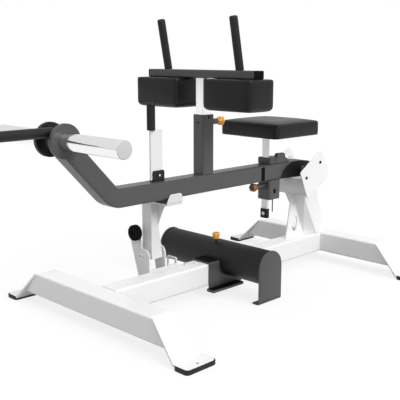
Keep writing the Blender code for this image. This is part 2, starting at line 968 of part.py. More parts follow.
bracket_bolt = bolt(
    "handle_bolt",
    (bolt_x, -cheek - 0.0038, bolt_z),
    (0, -1, 0),
    0.0062,
    0.0037,
    0.0030,
    2 * cheek + 0.0065,
)
join(bracket, bracket_bolt)
handle_bar = rounded_box(
    "handle_post",
    (handle_x0, -half_bar, bracket_low + 0.004 + gap),
    (handle_x1, half_bar, handle_bar_top),
    0.0015,
    2,
    "handle_silver",
    segments=1,
)
grip_x = handle_x0 + 0.006
stud_low = Vector((grip_x, 0, handle_bar_top - 0.008))
stud = rod("handle_stud", stud_low, stud_low + Vector((0, 0, 0.058)), 0.0034, segments=12)
join(cut(handle_bar, bracket_hole), stud)
grip = round_bar(
    "handle_grip",
    [(grip_x, 0, handle_bar_top + gap), (grip_x, 0, handle_grip_top)],
    handle_grip_radius,
    "plastic_black",
)
bevel(grip, 0.004, 2, 60)
stud_hole = rod(
    "handle_stud_hole",
    (grip_x, 0, handle_bar_top - 0.02),
    (grip_x, 0, handle_bar_top + 0.052),
    0.0037,
    segments=12,
)
cut(grip, stud_hole)

# Thigh pads on a height-adjustable post
thigh_post = square_tube(
    "thigh_post",
    2,
    lever_top + gap,
    post_top,
    (post_x, 0),
    (post_side, post_side),
    0.005,
    0.006,
    "lever_charcoal",
)
for name, start, end in (
    ("thigh_post_side_hole", (post_x, -0.06, post_top - 0.009), (post_x, 0, post_top - 0.009)),
    ("thigh_post_front_hole", (post_x - 0.06, 0, thigh_pin_z), (post_x, 0, thigh_pin_z)),
):
    cut(thigh_post, rod(name, start, end, 0.0025, segments=16))
thigh_inner = square_tube(
    "thigh_inner_tube",
    2,
    lever_top + thigh_travel_down + 0.0025,
    crossbar_low - gap,
    (post_x, 0),
    (inner_side, inner_side),
    0.003,
    0.005,
    "handle_silver",
)
square_tube(
    "thigh_crossbar",
    1,
    -crossbar_half + 0.003 + gap,
    crossbar_half - 0.003 - gap,
    ((crossbar_x0 + crossbar_x1) / 2, (crossbar_low + crossbar_high) / 2),
    (crossbar_x1 - crossbar_x0, crossbar_high - crossbar_low),
    0.0025,
    0.004,
    "part_grey",
)
for hand, side in (("left", -1), ("right", 1)):
    tip = side * crossbar_half
    root = side * (crossbar_half - 0.003)
    cap = rounded_box(
        f"crossbar_cap_{hand}",
        (crossbar_x0, min(tip, root), crossbar_low),
        (crossbar_x1, max(tip, root), crossbar_high),
        0.004,
        1,
        "plastic_black",
    )
    deep = side * (crossbar_half - 0.018)
    plug_in = 0.0025 + gap
    plug = rounded_box(
        f"crossbar_plug_{hand}",
        (crossbar_x0 + plug_in, min(root + side * 0.001, deep), crossbar_low + plug_in),
        (crossbar_x1 - plug_in, max(root + side * 0.001, deep), crossbar_high - plug_in),
        0.003,
        1,
    )
    join(cap, plug)
    grip_foot = Vector((thigh_grip_x, side * thigh_grip_y, crossbar_high + gap))
    grip_tip = Vector((thigh_grip_x - thigh_grip_lean, side * thigh_grip_y, thigh_grip_top))
    grip_foot = grip_foot - (grip_tip - grip_foot).normalized() * 0.008
    grip = round_bar(
        f"thigh_grip_{hand}", [grip_foot, grip_tip], thigh_grip_radius, "rubber_black"
    )
    bevel(grip, 0.004, 2, 60)
    cut(
        grip,
        box(
            f"grip_foot_cutter_{hand}",
            (grip_foot.x - 0.03, grip_foot.y - 0.03, crossbar_low),
            (grip_foot.x + 0.03, grip_foot.y + 0.03, crossbar_high + gap),
        ),
    )


def cushion(name, low, high, edge, crown, draw, slot, upright=1):
    """Upholstered block: a coarse cage with drawn-in sides and a crowned face, subdivided."""
    low, high = Vector(low), Vector(high)
    half = (high - low) / 2
    edit = bmesh.new()
    bmesh.ops.create_cube(edit, size=2)
    bmesh.ops.subdivide_edges(edit, edges=edit.edges[:], cuts=4, use_grid_fill=True)
    for vert in edit.verts:
        steps = [round((c + 1) * 2.5) for c in vert.co]
        place = []
        for i, step in enumerate(steps):
            near = 1 - (edge if i < 2 else edge * 0.45) / half[i]
            place.append(half[i] * (-1, -near, -0.36, 0.36, near, 1)[step])
        rim = [step in (0, 5) for step in steps]
        if rim[0] and rim[1]:
            place[0] *= 1 - edge * 0.35 / half.x
            place[1] *= 1 - edge * 0.35 / half.y
        if steps[2] in (2, 3):
            for i in (0, 1):
                if rim[i]:
                    place[i] *= 1 - draw / half[i]
        if steps[2] == 5:
            inner = [min(step, 5 - step) for step in steps[:2]]
            place[2] -= crown * (1.0, 0.5, 0.0)[min(inner)]
        vert.co = Vector((place[0], place[1], place[2] * upright))
    if upright < 0:
        bmesh.ops.reverse_faces(edit, faces=edit.faces)
    made = place_edit(name, edit, slot, Matrix.Translation((low + high) / 2))
    made.data.shade_smooth()
    change = made.modifiers.new("soft_form", "SUBSURF")
    change.levels = change.render_levels = 1
    return made


def thigh_pad(name, side):
    """Pad that hangs under the crossbar, crowned underneath."""
    y0, y1 = sorted((side * pad_inner, side * pad_outer))
    cushion(
        name, (pad_x0, y0, pad_low), (pad_x1, y1, pad_high), 0.024, 0.007, 0.0015, "vinyl_black", -1
    )


thigh_pad("thigh_pad_left", -1)
thigh_pad("thigh_pad_right", 1)

# Seat on a flat post that slides through the lever
housing = rounded_box(
    "seat_housing",
    (housing_x0, -lever_half, housing_low),
    (housing_x1, lever_half, lever_low - gap),
    housing_corner,
    2,
    "lever_charcoal",
)
seat_boss = rod(
    "seat_pin_boss",
    (housing_x0 - boss_length, 0, seat_pin_z),
    (housing_x0 + 0.003, 0, seat_pin_z),
    boss_radius,
    chamfer=0.001,
)
join(housing, seat_boss)
stop_rod_hole = rod(
    "stop_rod_hole",
    (stop_rod_x, stop_rod_y, housing_low - 0.02),
    (stop_rod_x, stop_rod_y, lever_low - 0.012),
    stop_rod_radius + gap,
    segments=14,
)
cut(
    housing,
    stop_rod_hole,
    box(
        "housing_post_hole",
        (seat_post_x - post_hole_half_x, -post_hole_half_y, housing_low - 0.02),
        (seat_post_x + post_hole_half_x, post_hole_half_y, lever_low + 0.02),
    ),
    rounded_box(
        "housing_side_pocket",
        (0.8265, -lever_half - 0.01, 0.3125),
        (0.8415, -lever_half + 0.004, 0.3290),
        0.003,
        1,
    ),
    rod(
        "housing_pin_hole",
        (housing_x0 - boss_length - 0.02, 0, seat_pin_z),
        (seat_post_x, 0, seat_pin_z),
        0.0050,
    ),
)
collar = rounded_box(
    "seat_collar",
    (cap_x0, -lever_half, lever_top + gap),
    (cap_x1, lever_half, lever_top + cap_height),
    0.004,
    2,
    "part_grey",
)
cut(
    bevel(collar, 0.0012, 1, 60),
    box(
        "collar_post_hole",
        (seat_post_x - post_hole_half_x, -post_hole_half_y, lever_top - 0.02),
        (seat_post_x + post_hole_half_x, post_hole_half_y, lever_top + 0.06),
    ),
)
rib_x0 = cap_x1 + gap
stop_half = lever_half - 0.0005
rib = slab(
    "seat_post_stop",
    [
        (rib_x0, lever_top + gap),
        (stop_rear, lever_top + gap),
        (stop_rear, lever_top + 0.0025),
        (stop_rear - 0.009, lever_top + 0.0060),
        (stop_rear - 0.024, lever_top + 0.0190),
        (rib_x0 + 0.004, lever_top + cap_height),
        (rib_x0, lever_top + cap_height - 0.003),
    ],
    1,
    -stop_half,
    stop_half,
    "lever_charcoal",
)
block = slab(
    "stop_block",
    [
        (stop_rear - 0.077, lever_top + 0.004),
        (stop_rear - 0.026, lever_top + 0.004),
        (stop_rear - 0.029, lever_top + 0.028),
        (stop_rear - 0.033, lever_top + stop_block_height - 0.002),
        (stop_rear - 0.037, lever_top + stop_block_height),
        (stop_rear - 0.069, lever_top + stop_block_height),
        (stop_rear - 0.075, lever_top + stop_block_height - 0.005),
    ],
    1,
    -stop_half,
    -stop_half + 0.014,
)
bevel(join(rib, block), 0.0015, 1, 30)
seat_plate_thick = 0.006
plate_top = seat_low - gap
plate_low = plate_top - seat_plate_thick
seat_plate = rounded_box(
    "seat_plate",
    (seat_front + 0.051, -seat_half + 0.050, plate_low),
    (seat_rear - 0.040, seat_half - 0.050, plate_top),
    0.010,
    2,
    "part_grey",
)
rounded_box(
    "seat_post",
    (
        seat_post_x - seat_post_thick / 2,
        -seat_post_width / 2,
        seat_post_low + 0.035 + gap,
    ),
    (seat_post_x + seat_post_thick / 2, seat_post_width / 2, plate_low - gap),
    0.0015,
    2,
    "steel_zinc",
    segments=2,
)
post_end = rounded_box(
    "seat_post_end",
    (seat_post_x - seat_post_thick / 2 - 0.003, -seat_post_width / 2 - 0.002, seat_post_low),
    (seat_post_x + seat_post_thick / 2 + 0.003, seat_post_width / 2 + 0.002, seat_post_low + 0.035),
    0.003,
    2,
    "plastic_black",
    segments=2,
)
cut(
    bevel(post_end, 0.001, 1, 60),
    rod(
        "post_end_hole",
        (seat_post_x - 0.05, 0, seat_post_low + 0.017),
        (seat_post_x + 0.05, 0, seat_post_low + 0.017),
        0.0055,
        segments=20,
    ),
)
rod(
    "seat_guide_rod",
    (stop_rod_x, stop_rod_y, stop_rod_low),
    (stop_rod_x, stop_rod_y, lever_low - 0.013),
    stop_rod_radius,
    "part_grey",
    12,
)
cushion(
    "seat_pad",
    (seat_front, -seat_half, seat_low),
    (seat_rear, seat_half, seat_high),
    0.016,
    0.005,
    0.001,
    "vinyl_black",
)

# Spring-loaded pull pins, each with its tip just short of the post that it locks


def pull_pin(name, seat, direction, barrel, knob_radius, knob_length, reach, foot):
    """Pin with a knob: seat is where it leaves the housing, direction points to the hand."""
    profile = [
        (0, -reach),
        (0.0035, -reach),
        (0.0045, -reach + 0.002),
        (0.0045, barrel),
        (foot, barrel),
        (knob_radius, barrel + 0.25 * knob_length),
        (knob_radius, barrel + 0.80 * knob_length),
        (knob_radius - 0.003, barrel + knob_length),
        (0, barrel + knob_length),
    ]
    return turned(name, profile, seat, direction, "knob_orange", 20)


post_rear = post_x + post_side / 2
thigh_boss = rod(
    "thigh_pin_boss",
    (post_rear - 0.002, 0, thigh_pin_z),
    (post_rear + boss_length, 0, thigh_pin_z),
    boss_radius,
    chamfer=0.001,
)
cut(
    join(thigh_post, thigh_boss),
    rod(
        "thigh_pin_hole",
        (post_x, 0, thigh_pin_z),
        (post_rear + boss_length + 0.02, 0, thigh_pin_z),
        0.0050,
    ),
)
pull_pin(
    "thigh_pull_pin",
    (post_rear, 0, thigh_pin_z),
    (1, 0, 0),
    boss_length + gap,
    pull_knob_radius,
    pull_knob_length,
    post_side / 2 - inner_side / 2 - 0.0005,
    0.009,
)
pull_pin(
    "seat_pull_pin",
    (housing_x0, 0, seat_pin_z),
    (-1, 0, 0),
    boss_length + gap,
    pull_knob_radius,
    pull_knob_length,
    seat_post_x - seat_post_thick / 2 - housing_x0 - 0.0005,
    0.009,
)

# Foot rest: a curved cover between two end plates, on a carriage that slides along the spine
side_run = beam / 2 + running_gap
carriage_wall = 0.005
carriage_clear = 0.0010
carriage_top = beam_top + carriage_clear + 0.0045
runner_top = runner_low + runner_thick
outer_half = side_run + carriage_wall
carriage_outline = [
    (-outer_half, runner_low + 0.002),
    (-outer_half, carriage_top - 0.004),
    (-outer_half + 0.004, carriage_top),
    (outer_half - 0.004, carriage_top),
    (outer_half, carriage_top - 0.004),
    (outer_half, runner_low + 0.002),
    (side_run, runner_low + 0.002),
    (side_run, beam_top + carriage_clear),
    (-side_run, beam_top + carriage_clear),
    (-side_run, runner_low + 0.002),
]
carriage = slab(
    "foot_rest_carriage", carriage_outline, 0, carriage_x0, carriage_x1, "part_grey"
)
for side in (-1, 1):
    y0, y1 = sorted((side * (side_run + 0.0005), side * runner_half))
    runner = rounded_box(
        f"carriage_runner_{side}", (runner_x0, y0, runner_low), (runner_x1, y1, runner_top), 0.006, 2
    )
    join(carriage, runner)
bevel(carriage, 0.0010, 1, 60)
rest_face = rest_half - rest_plate_thick
cover_wall = 0.004
far_face = rest_far - rest_plate_thick
cover_near = -rest_face + gap
cover_far = far_face - gap
cover_path = arc((rest_x, rest_cover_low_z), rest_cover_radius, -75, 0, 6)
cover_path += arc((rest_x, rest_cover_z), rest_cover_radius, 0, 180, 15)
cover_path += arc((rest_x, rest_cover_low_z), rest_cover_radius, 180, 255, 6)
edit, edges = surface([(x, cover_near, z) for x, z in cover_path], False)
extend(edit, edges, Matrix.Translation((0, cover_far - cover_near, 0)))
cover_middle = (rest_x, 0, (rest_cover_z + rest_cover_low_z) / 2)
cover = thicken("foot_rest_cover", edit, cover_wall, "rubber_black", cover_middle)
notch_half = outer_half + gap
cut(
    cover,
    box(
        "cover_notch",
        (rest_x - 0.1, -notch_half, 0),
        (rest_x + 0.1, notch_half, carriage_top + gap),
    ),
)
arch = (rest_x, rest_plate_top - rest_plate_half_x)
rest_bend = 0.008
seam_z = rest_floor + rest_bend
rest_outline = arc(arch, rest_plate_half_x, 0, 180, 14)
rest_outline += [(rest_x - rest_plate_half_x, seam_z), (rest_x + rest_plate_half_x, seam_z)]
near_end = slab(
    "foot_rest_end_left", rest_outline, 1, -rest_half, -rest_face, "part_grey"
)
heel = arc((rest_half - rest_bend, seam_z), rest_bend, 10, -90, 6)
heel.insert(0, (rest_half, seam_z + 0.004))
toe = rest_half - rest_flange
heel += [(toe + 0.002, rest_floor), (toe, rest_floor + 0.0015)]
heel += [(toe, rest_floor + rest_plate_thick - 0.001), (toe + 0.001, rest_floor + rest_plate_thick)]
heel += arc((rest_half - rest_bend, seam_z), rest_bend - rest_plate_thick, -90, 0, 4)
heel.append((rest_face, seam_z + 0.004))
flange = slab(
    "foot_rest_flange",
    [(-y, z) for y, z in heel],
    0,
    rest_x - rest_plate_half_x,
    rest_x + rest_plate_half_x,
)
bevel(join(near_end, flange), 0.0008, 1, 60)
far_outline = arc(arch, rest_plate_half_x, 0, 180, 14)
far_outline += arc((rest_x, rest_cover_low_z), rest_plate_half_x, 180, 360, 14)
far_end = slab("foot_rest_end_right", far_outline, 1, far_face, rest_far, "part_grey")
bevel(far_end, 0.0008, 1, 60)
pin_x = rest_x - rest_pin_offset
rest_top = rest_cover_z + math.sqrt(rest_cover_radius**2 - rest_pin_offset**2)
pin_hole = rod("rest_pin_hole", (pin_x, 0, 0.100), (pin_x, 0, 0.25), 0.0050)
cut(cover, pin_hole)
cut(carriage, pin_hole)
pull_pin(
    "foot_rest_pull_pin",
    (pin_x, 0, rest_top),
    (0, 0, 1),
    0.0160,
    0.0135,
    0.0235,
    rest_top - beam_top - 0.0006,
    0.008,
)

# Latch: a hinged post beside the spine that holds the lever up
ear_thick = 0.005
spine_side = beam / 2 + gap
clevis = box(
    "latch_clevis",
    (ear_front, spine_side, 0.050),
    (clevis_rear, spine_side + ear_thick, clevis_top),
    "latch_silver",
)
ear_foot = [(spine_side + 0.001, 0.106), (spine_side + 0.001, latch_z - 0.010)]
rear_ear_line = ear_foot + arc((latch_y - 0.0077, latch_z + 0.0012), 0.0285, 170, -20, 8)
rear_ear_line += [(latch_y + 0.008, 0.092), (spine_side + 0.001, 0.060)]
front_ear_line = ear_foot + arc((latch_y - 0.0107, latch_z - 0.0016), 0.0265, 165, 75, 5)
front_ear_line += [(latch_y + 0.0015, latch_z + 0.0265), (latch_y + 0.0020, latch_z + 0.0535)]
front_ear_line += arc((bumper_y + 0.0155, bumper_z - 0.013), 0.026, 165, -10, 8)
front_ear_line += [(latch_y + 0.020, 0.092)]
front_ear_line += [(spine_side + 0.001, 0.060)]
join(
    clevis,
    slab("clevis_ear_rear", rear_ear_line, 0, ear_rear - ear_thick, ear_rear),
    slab("clevis_ear_front", front_ear_line, 0, ear_front, ear_front + ear_thick),
    cut(
        rounded_box(
            "clevis_tab",
            (clevis_rear - 0.004, spine_side + 0.001, 0.088),
            (clevis_rear, spine_side + 0.048, 0.139),
            0.007,
            0,
        ),
        rounded_box(
            "clevis_tab_window",
            (clevis_rear - 0.02, spine_side + 0.010, 0.103),
            (clevis_rear + 0.02, spine_side + 0.042, 0.133),
            0.004,
            0,
        ),
    ),
)
far_left = ear_front - 0.05
latch_bore = rod("latch_bore", (far_left, latch_y, latch_z), (ear_rear + 0.05, latch_y, latch_z), 0.0064)
bumper_bore = rod(
    "bumper_bore", (far_left, bumper_y, bumper_z), (ear_rear, bumper_y, bumper_z), 0.0047,
    segments=14,
)
cut(clevis, latch_bore, bumper_bore)
turned(
    "latch_bumper",
    [
        (0, -0.0045),
        (0.0044, -0.0045),
        (0.0044, gap),
        (bumper_radius - 0.002, gap),
        (bumper_radius, 0.003),
        (bumper_radius, bumper_length - 0.003),
        (bumper_radius - 0.003, bumper_length),
        (0.008, bumper_length),
        (0.006, bumper_length - 0.002),
        (0, bumper_length - 0.002),
    ],
    (ear_front, bumper_y, bumper_z),
    (-1, 0, 0),
    "rubber_black",
)
grip_span = ear_rear - ear_front
turned(
    "latch_bolt",
    [
        (0, -grip_span - gap - 0.006),
        (0.009, -grip_span - gap - 0.006),
        (0.009, -grip_span - gap),
        (0.006, -grip_span - gap),
        (0.006, gap),
        (0.009, gap),
        (0.009, 0.004),
        (0.007, 0.0055),
        (0, 0.0055),
    ],
    (ear_front, latch_y, latch_z),
    (-1, 0, 0),
    "steel_zinc",
    16,
)
latch_top = lever_low - gap
saddle_top = latch_top - latch_pad_thick - gap
saddle_low = saddle_top - saddle_thick
post_rear_edge = [
    (0.3307, saddle_low + 0.003),
    (0.3307, 0.259),
    (0.3326, 0.238),
    (0.3368, 0.217),
    (0.3430, 0.184),
    (0.3460, latch_post_low + 0.004),
]
post_outline = arc((latch_post_x0 + 0.004, latch_post_low + 0.004), 0.004, 270, 180, 3)
post_outline += [(latch_post_x0, saddle_low + 0.003)] + post_rear_edge
post_outline += arc((0.3420, latch_post_low + 0.004), 0.004, -30, -90, 2)
post = slab(
    "latch_post", post_outline, 1, latch_post_y0, latch_post_y1, "latch_silver"
)
bevel(post, 0.0020, 2, 50)
hub = rod(
    "latch_hub",
    (ear_front + ear_thick + running_gap, latch_y, latch_z),
    (ear_rear - ear_thick - running_gap, latch_y, latch_z),
    0.0125,
)
lip_y = -lever_half - 0.0012
lip_thick = 0.005
web_x1 = 0.3307
arm = slab(
    "latch_arm",
    [
        (latch_post_y1 - 0.003, saddle_low - 0.030),
        (latch_post_y1 - 0.003, saddle_low + 0.003),
        (0.0095, saddle_low + 0.003),
        (0.0118, saddle_low - 0.0027),
        (0.0193, saddle_low - 0.0138),
        (0.0293, saddle_low - 0.0304),
        (0.0395, saddle_low - 0.0523),
        (0.0472, saddle_low - 0.0705),
        (latch_post_y0 + 0.003, saddle_low - 0.0884),
    ],
    0,
    web_x1 - 0.006,
    web_x1 - 0.0005,
)
saddle = rounded_box(
    "latch_saddle",
    (saddle_x0, lip_y - lip_thick, saddle_low),
    (saddle_x1, latch_post_y1, saddle_top),
    0.004,
    2,
    segments=2,
)
latch_pad = rounded_box(
    "latch_pad",
    (saddle_x0 + 0.002, lip_y + 0.0007, saddle_top + gap),
    (saddle_x1 - 0.002, lever_half + 0.0005, latch_top),
    0.002,
    2,
    "rubber_black",
)
lip_low = saddle_top + gap
lip_top = lip_low + lip_height
lip_outline = [(saddle_x0, lip_low), (saddle_x0 + 0.0133, lip_top - 0.0040)]
lip_outline += [(saddle_x0 + 0.0198, lip_top), (saddle_x1 - 0.0087, lip_top)]
lip_outline += [(saddle_x1 - 0.0021, lip_top - 0.0052), (saddle_x1, lip_top - 0.0132)]
lip_outline.append((saddle_x1, lip_low))
lip = slab("latch_lip", lip_outline, 1, lip_y - lip_thick, lip_y, "latch_silver")
bevel(lip, 0.0015, 2, 50)
post_bore = rod("post_bore", (far_left, latch_y, latch_z), (ear_rear + 0.05, latch_y, latch_z), 0.0064)
cut(join(post, hub, arm, saddle), post_bore)

# Moving groups hang from an empty on their joint, and all of it is centred on the origin
front_end = bar_front
rear_end = base_length - beam / 2 + foot_tab_width / 2 + rubber_margin
centre = bpy.data.objects.new("machine_centre", None)
centre.location = (-(front_end + rear_end) / 2, 0, 0)
machine.objects.link(centre)

groups = {
    "lever": (
        pivot,
        ["lever_arm", "lever_knuckle", "lever_joint_strip", "loading_head", "plate_horn_left"]
        + ["plate_horn_right", "front_bar", "handle_bracket", "handle_post"]
        + ["handle_grip", "thigh_post", "seat_housing", "seat_collar"]
        + ["seat_post_stop", "seat_guide_rod"],
    ),
    "thigh_carriage": (
        Vector((post_x, 0, post_top)),
        ["thigh_inner_tube", "thigh_crossbar", "crossbar_cap_left", "crossbar_cap_right"]
        + ["thigh_grip_left", "thigh_grip_right", "thigh_pad_left", "thigh_pad_right"],
    ),
    "seat": (
        Vector((seat_post_x, 0, lever_top)),
        ["seat_plate", "seat_post", "seat_post_end", "seat_pad"],
    ),
    "latch": (Vector((latch_x, latch_y, latch_z)), ["latch_post", "latch_lip", "latch_pad"]),
    "foot_rest": (
        Vector((rest_x, 0, beam_top)),
        ["foot_rest_carriage", "foot_rest_cover", "foot_rest_end_left", "foot_rest_end_right"],
    ),
    "thigh_pin": (Vector((post_rear, 0, thigh_pin_z)), ["thigh_pull_pin"]),
    "seat_pin": (Vector((housing_x0, 0, seat_pin_z)), ["seat_pull_pin"]),
    "rest_pin": (Vector((pin_x, 0, rest_top)), ["foot_rest_pull_pin"]),
}
holders = {}
for group, (origin, names) in groups.items():
    holder = bpy.data.objects.new(group + "_joint", None)
    holder.location = origin
    machine.objects.link(holder)
    holder.parent = centre
    for name in names:
        holders[name] = (holder, origin)
for made in list(machine.objects) + list(cutters.objects):
    if made.type == "EMPTY":
        continue
    holder, origin = holders.get(made.name, (centre, Vector((0, 0, 0))))
    made.parent = holder
    made.matrix_parent_inverse = Matrix.Translation(-origin)
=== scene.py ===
import json
import math
import bmesh
import bpy
from mathutils import Euler, Matrix, Vector
from mathutils.bvhtree import BVHTree


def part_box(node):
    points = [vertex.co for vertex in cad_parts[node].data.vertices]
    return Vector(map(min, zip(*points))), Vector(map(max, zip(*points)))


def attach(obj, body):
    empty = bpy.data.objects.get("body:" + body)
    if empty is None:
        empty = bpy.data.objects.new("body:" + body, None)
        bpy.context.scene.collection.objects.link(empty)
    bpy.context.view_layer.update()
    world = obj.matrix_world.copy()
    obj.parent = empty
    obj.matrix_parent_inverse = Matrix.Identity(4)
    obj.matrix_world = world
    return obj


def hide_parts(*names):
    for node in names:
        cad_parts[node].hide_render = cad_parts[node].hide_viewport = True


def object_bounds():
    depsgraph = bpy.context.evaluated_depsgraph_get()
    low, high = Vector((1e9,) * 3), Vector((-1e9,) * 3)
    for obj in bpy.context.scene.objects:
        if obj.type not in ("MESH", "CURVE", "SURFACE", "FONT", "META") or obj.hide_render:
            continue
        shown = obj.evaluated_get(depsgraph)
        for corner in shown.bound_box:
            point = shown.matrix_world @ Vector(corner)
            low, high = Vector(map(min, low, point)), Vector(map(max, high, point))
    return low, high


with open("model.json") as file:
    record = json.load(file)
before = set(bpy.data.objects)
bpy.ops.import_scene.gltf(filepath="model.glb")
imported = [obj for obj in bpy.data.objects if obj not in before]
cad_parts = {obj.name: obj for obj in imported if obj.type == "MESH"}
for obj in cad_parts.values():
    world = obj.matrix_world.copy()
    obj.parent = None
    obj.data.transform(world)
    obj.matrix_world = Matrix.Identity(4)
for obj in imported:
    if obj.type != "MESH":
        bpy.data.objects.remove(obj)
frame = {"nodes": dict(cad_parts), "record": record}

cadBounds = [list(corner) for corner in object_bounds()]
shiftX = cadBounds[0][0] + 0.300
nodes = frame["nodes"]


def at(x, y, z):
    # lengths from the front face of the front beam, as the solids were laid out
    return Vector((x + shiftX, y, z))


# shader groups


def newGroup(name, sockets):
    group = bpy.data.node_groups.new(name, "ShaderNodeTree")
    for label, kind, inOut, default in sockets:
        socket = group.interface.new_socket(label, in_out=inOut, socket_type=kind)
        if default is not None:
            socket.default_value = default
    tree = group.nodes
    return group, tree.new("NodeGroupInput"), tree.new("NodeGroupOutput")


def makeGrainGroup():
    # fine surface relief from noise, in metres, over the softly rounded edges
    group, entry, leave = newGroup(
        "surfaceGrain",
        [
            ("Scale", "NodeSocketFloat", "INPUT", 600.0),
            ("Depth", "NodeSocketFloat", "INPUT", 0.0001),
            ("Edge", "NodeSocketFloat", "INPUT", 0.0015),
            ("Normal", "NodeSocketVector", "OUTPUT", None),
            ("Height", "NodeSocketFloat", "OUTPUT", None),
        ],
    )
    tree, link = group.nodes, group.links.new
    place = tree.new("ShaderNodeTexCoord")
    noise = tree.new("ShaderNodeTexNoise")
    noise.inputs["Detail"].default_value = 3.0
    noise.inputs["Roughness"].default_value = 0.55
    link(place.outputs["Object"], noise.inputs["Vector"])
    link(entry.outputs["Scale"], noise.inputs["Scale"])
    edge = tree.new("ShaderNodeBevel")
    edge.samples = 4
    link(entry.outputs["Edge"], edge.inputs["Radius"])
    bump = tree.new("ShaderNodeBump")
    bump.inputs["Strength"].default_value = 1.0
    link(entry.outputs["Depth"], bump.inputs["Distance"])
    link(noise.outputs["Fac"], bump.inputs["Height"])
    link(edge.outputs["Normal"], bump.inputs["Normal"])
    link(bump.outputs["Normal"], leave.inputs["Normal"])
    link(noise.outputs["Fac"], leave.inputs["Height"])
    return group


def makeLeatherGroup():
    # pebbled vinyl: small cells with soft creases between them
    group, entry, leave = newGroup(
        "vinylGrain",
        [
            ("Cells", "NodeSocketFloat", "INPUT", 700.0),
            ("Depth", "NodeSocketFloat", "INPUT", 0.0002),
            ("Normal", "NodeSocketVector", "OUTPUT", None),
            ("Crease", "NodeSocketFloat", "OUTPUT", None),
        ],
    )
    tree, link = group.nodes, group.links.new
    place = tree.new("ShaderNodeTexCoord")
    cells = tree.new("ShaderNodeTexVoronoi")
    cells.feature = "SMOOTH_F1"
    cells.inputs["Smoothness"].default_value = 0.35
    link(place.outputs["Object"], cells.inputs["Vector"])
    link(entry.outputs["Cells"], cells.inputs["Scale"])
    broad = tree.new("ShaderNodeTexNoise")
    broad.inputs["Scale"].default_value = 28.0
    broad.inputs["Detail"].default_value = 4.0
    link(place.outputs["Object"], broad.inputs["Vector"])
    mixed = tree.new("ShaderNodeMath")
    mixed.operation = "MULTIPLY_ADD"
    mixed.inputs[1].default_value = 0.8
    link(cells.outputs["Distance"], mixed.inputs[0])
    link(broad.outputs["Fac"], mixed.inputs[2])
    bump = tree.new("ShaderNodeBump")
    bump.inputs["Strength"].default_value = 0.8
    bump.invert = True
    link(entry.outputs["Depth"], bump.inputs["Distance"])
    link(mixed.outputs[0], bump.inputs["Height"])
    link(bump.outputs["Normal"], leave.inputs["Normal"])
    link(cells.outputs["Distance"], leave.inputs["Crease"])
    return group


def makeToneGroup():
    # slow change of tone over a surface, between two colours
    group, entry, leave = newGroup(
        "toneDrift",
        [
            ("Dark", "NodeSocketColor", "INPUT", (0.1, 0.1, 0.1, 1.0)),
            ("Light", "NodeSocketColor", "INPUT", (0.2, 0.2, 0.2, 1.0)),
            ("Scale", "NodeSocketFloat", "INPUT", 6.0),
            ("Color", "NodeSocketColor", "OUTPUT", None),
        ],
    )
    tree, link = group.nodes, group.links.new
    place = tree.new("ShaderNodeTexCoord")
    noise = tree.new("ShaderNodeTexNoise")
    noise.inputs["Detail"].default_value = 5.0
    noise.inputs["Roughness"].default_value = 0.6
    link(place.outputs["Object"], noise.inputs["Vector"])
    link(entry.outputs["Scale"], noise.inputs["Scale"])
    blend = tree.new("ShaderNodeMix")
    blend.data_type = "RGBA"
    link(noise.outputs["Fac"], blend.inputs["Factor"])
    link(entry.outputs["Dark"], blend.inputs["A"])
    link(entry.outputs["Light"], blend.inputs["B"])
    link(blend.outputs["Result"], leave.inputs["Color"])
    return group


grainGroup = makeGrainGroup()
leatherGroup = makeLeatherGroup()
toneGroup = makeToneGroup()


def makeMaterial(spec):
    made = bpy.data.materials.new(spec["name"])
    made.use_nodes = True
    tree, link = made.node_tree.nodes, made.node_tree.links.new
    shader = tree["Principled BSDF"]
    tone = tree.new("ShaderNodeGroup")
    tone.node_tree = toneGroup
    tone.inputs["Dark"].default_value = (*spec["dark"], 1)
    tone.inputs["Light"].default_value = (*spec["light"], 1)
    tone.inputs["Scale"].default_value = spec.get("toneScale", 6.0)
    link(tone.outputs["Color"], shader.inputs["Base Color"])
    rough = tree.new("ShaderNodeMapRange")
    low, high = spec["roughness"]
    rough.inputs["To Min"].default_value = low
    rough.inputs["To Max"].default_value = high
    relief = tree.new("ShaderNodeGroup")
    if spec.get("cells"):
        relief.node_tree = leatherGroup
        relief.inputs["Cells"].default_value = spec["cells"]
        relief.inputs["Depth"].default_value = spec["depth"]
        link(relief.outputs["Crease"], rough.inputs["Value"])
    else:
        relief.node_tree = grainGroup
        relief.inputs["Scale"].default_value = spec["grain"]
        relief.inputs["Depth"].default_value = spec["depth"]
        relief.inputs["Edge"].default_value = spec.get("edge", 0.0015)
        link(relief.outputs["Height"], rough.inputs["Value"])
    link(rough.outputs["Result"], shader.inputs["Roughness"])
    link(relief.outputs["Normal"], shader.inputs["Normal"])
    shader.inputs["Metallic"].default_value = spec.get("metallic", 0.0)
    shader.inputs["Specular IOR Level"].default_value = spec.get("specular", 0.5)
    shader.inputs["Coat Weight"].default_value = spec.get("coat", 0.0)
    shader.inputs["Coat Roughness"].default_value = spec.get("coatRoughness", 0.1)
    return made


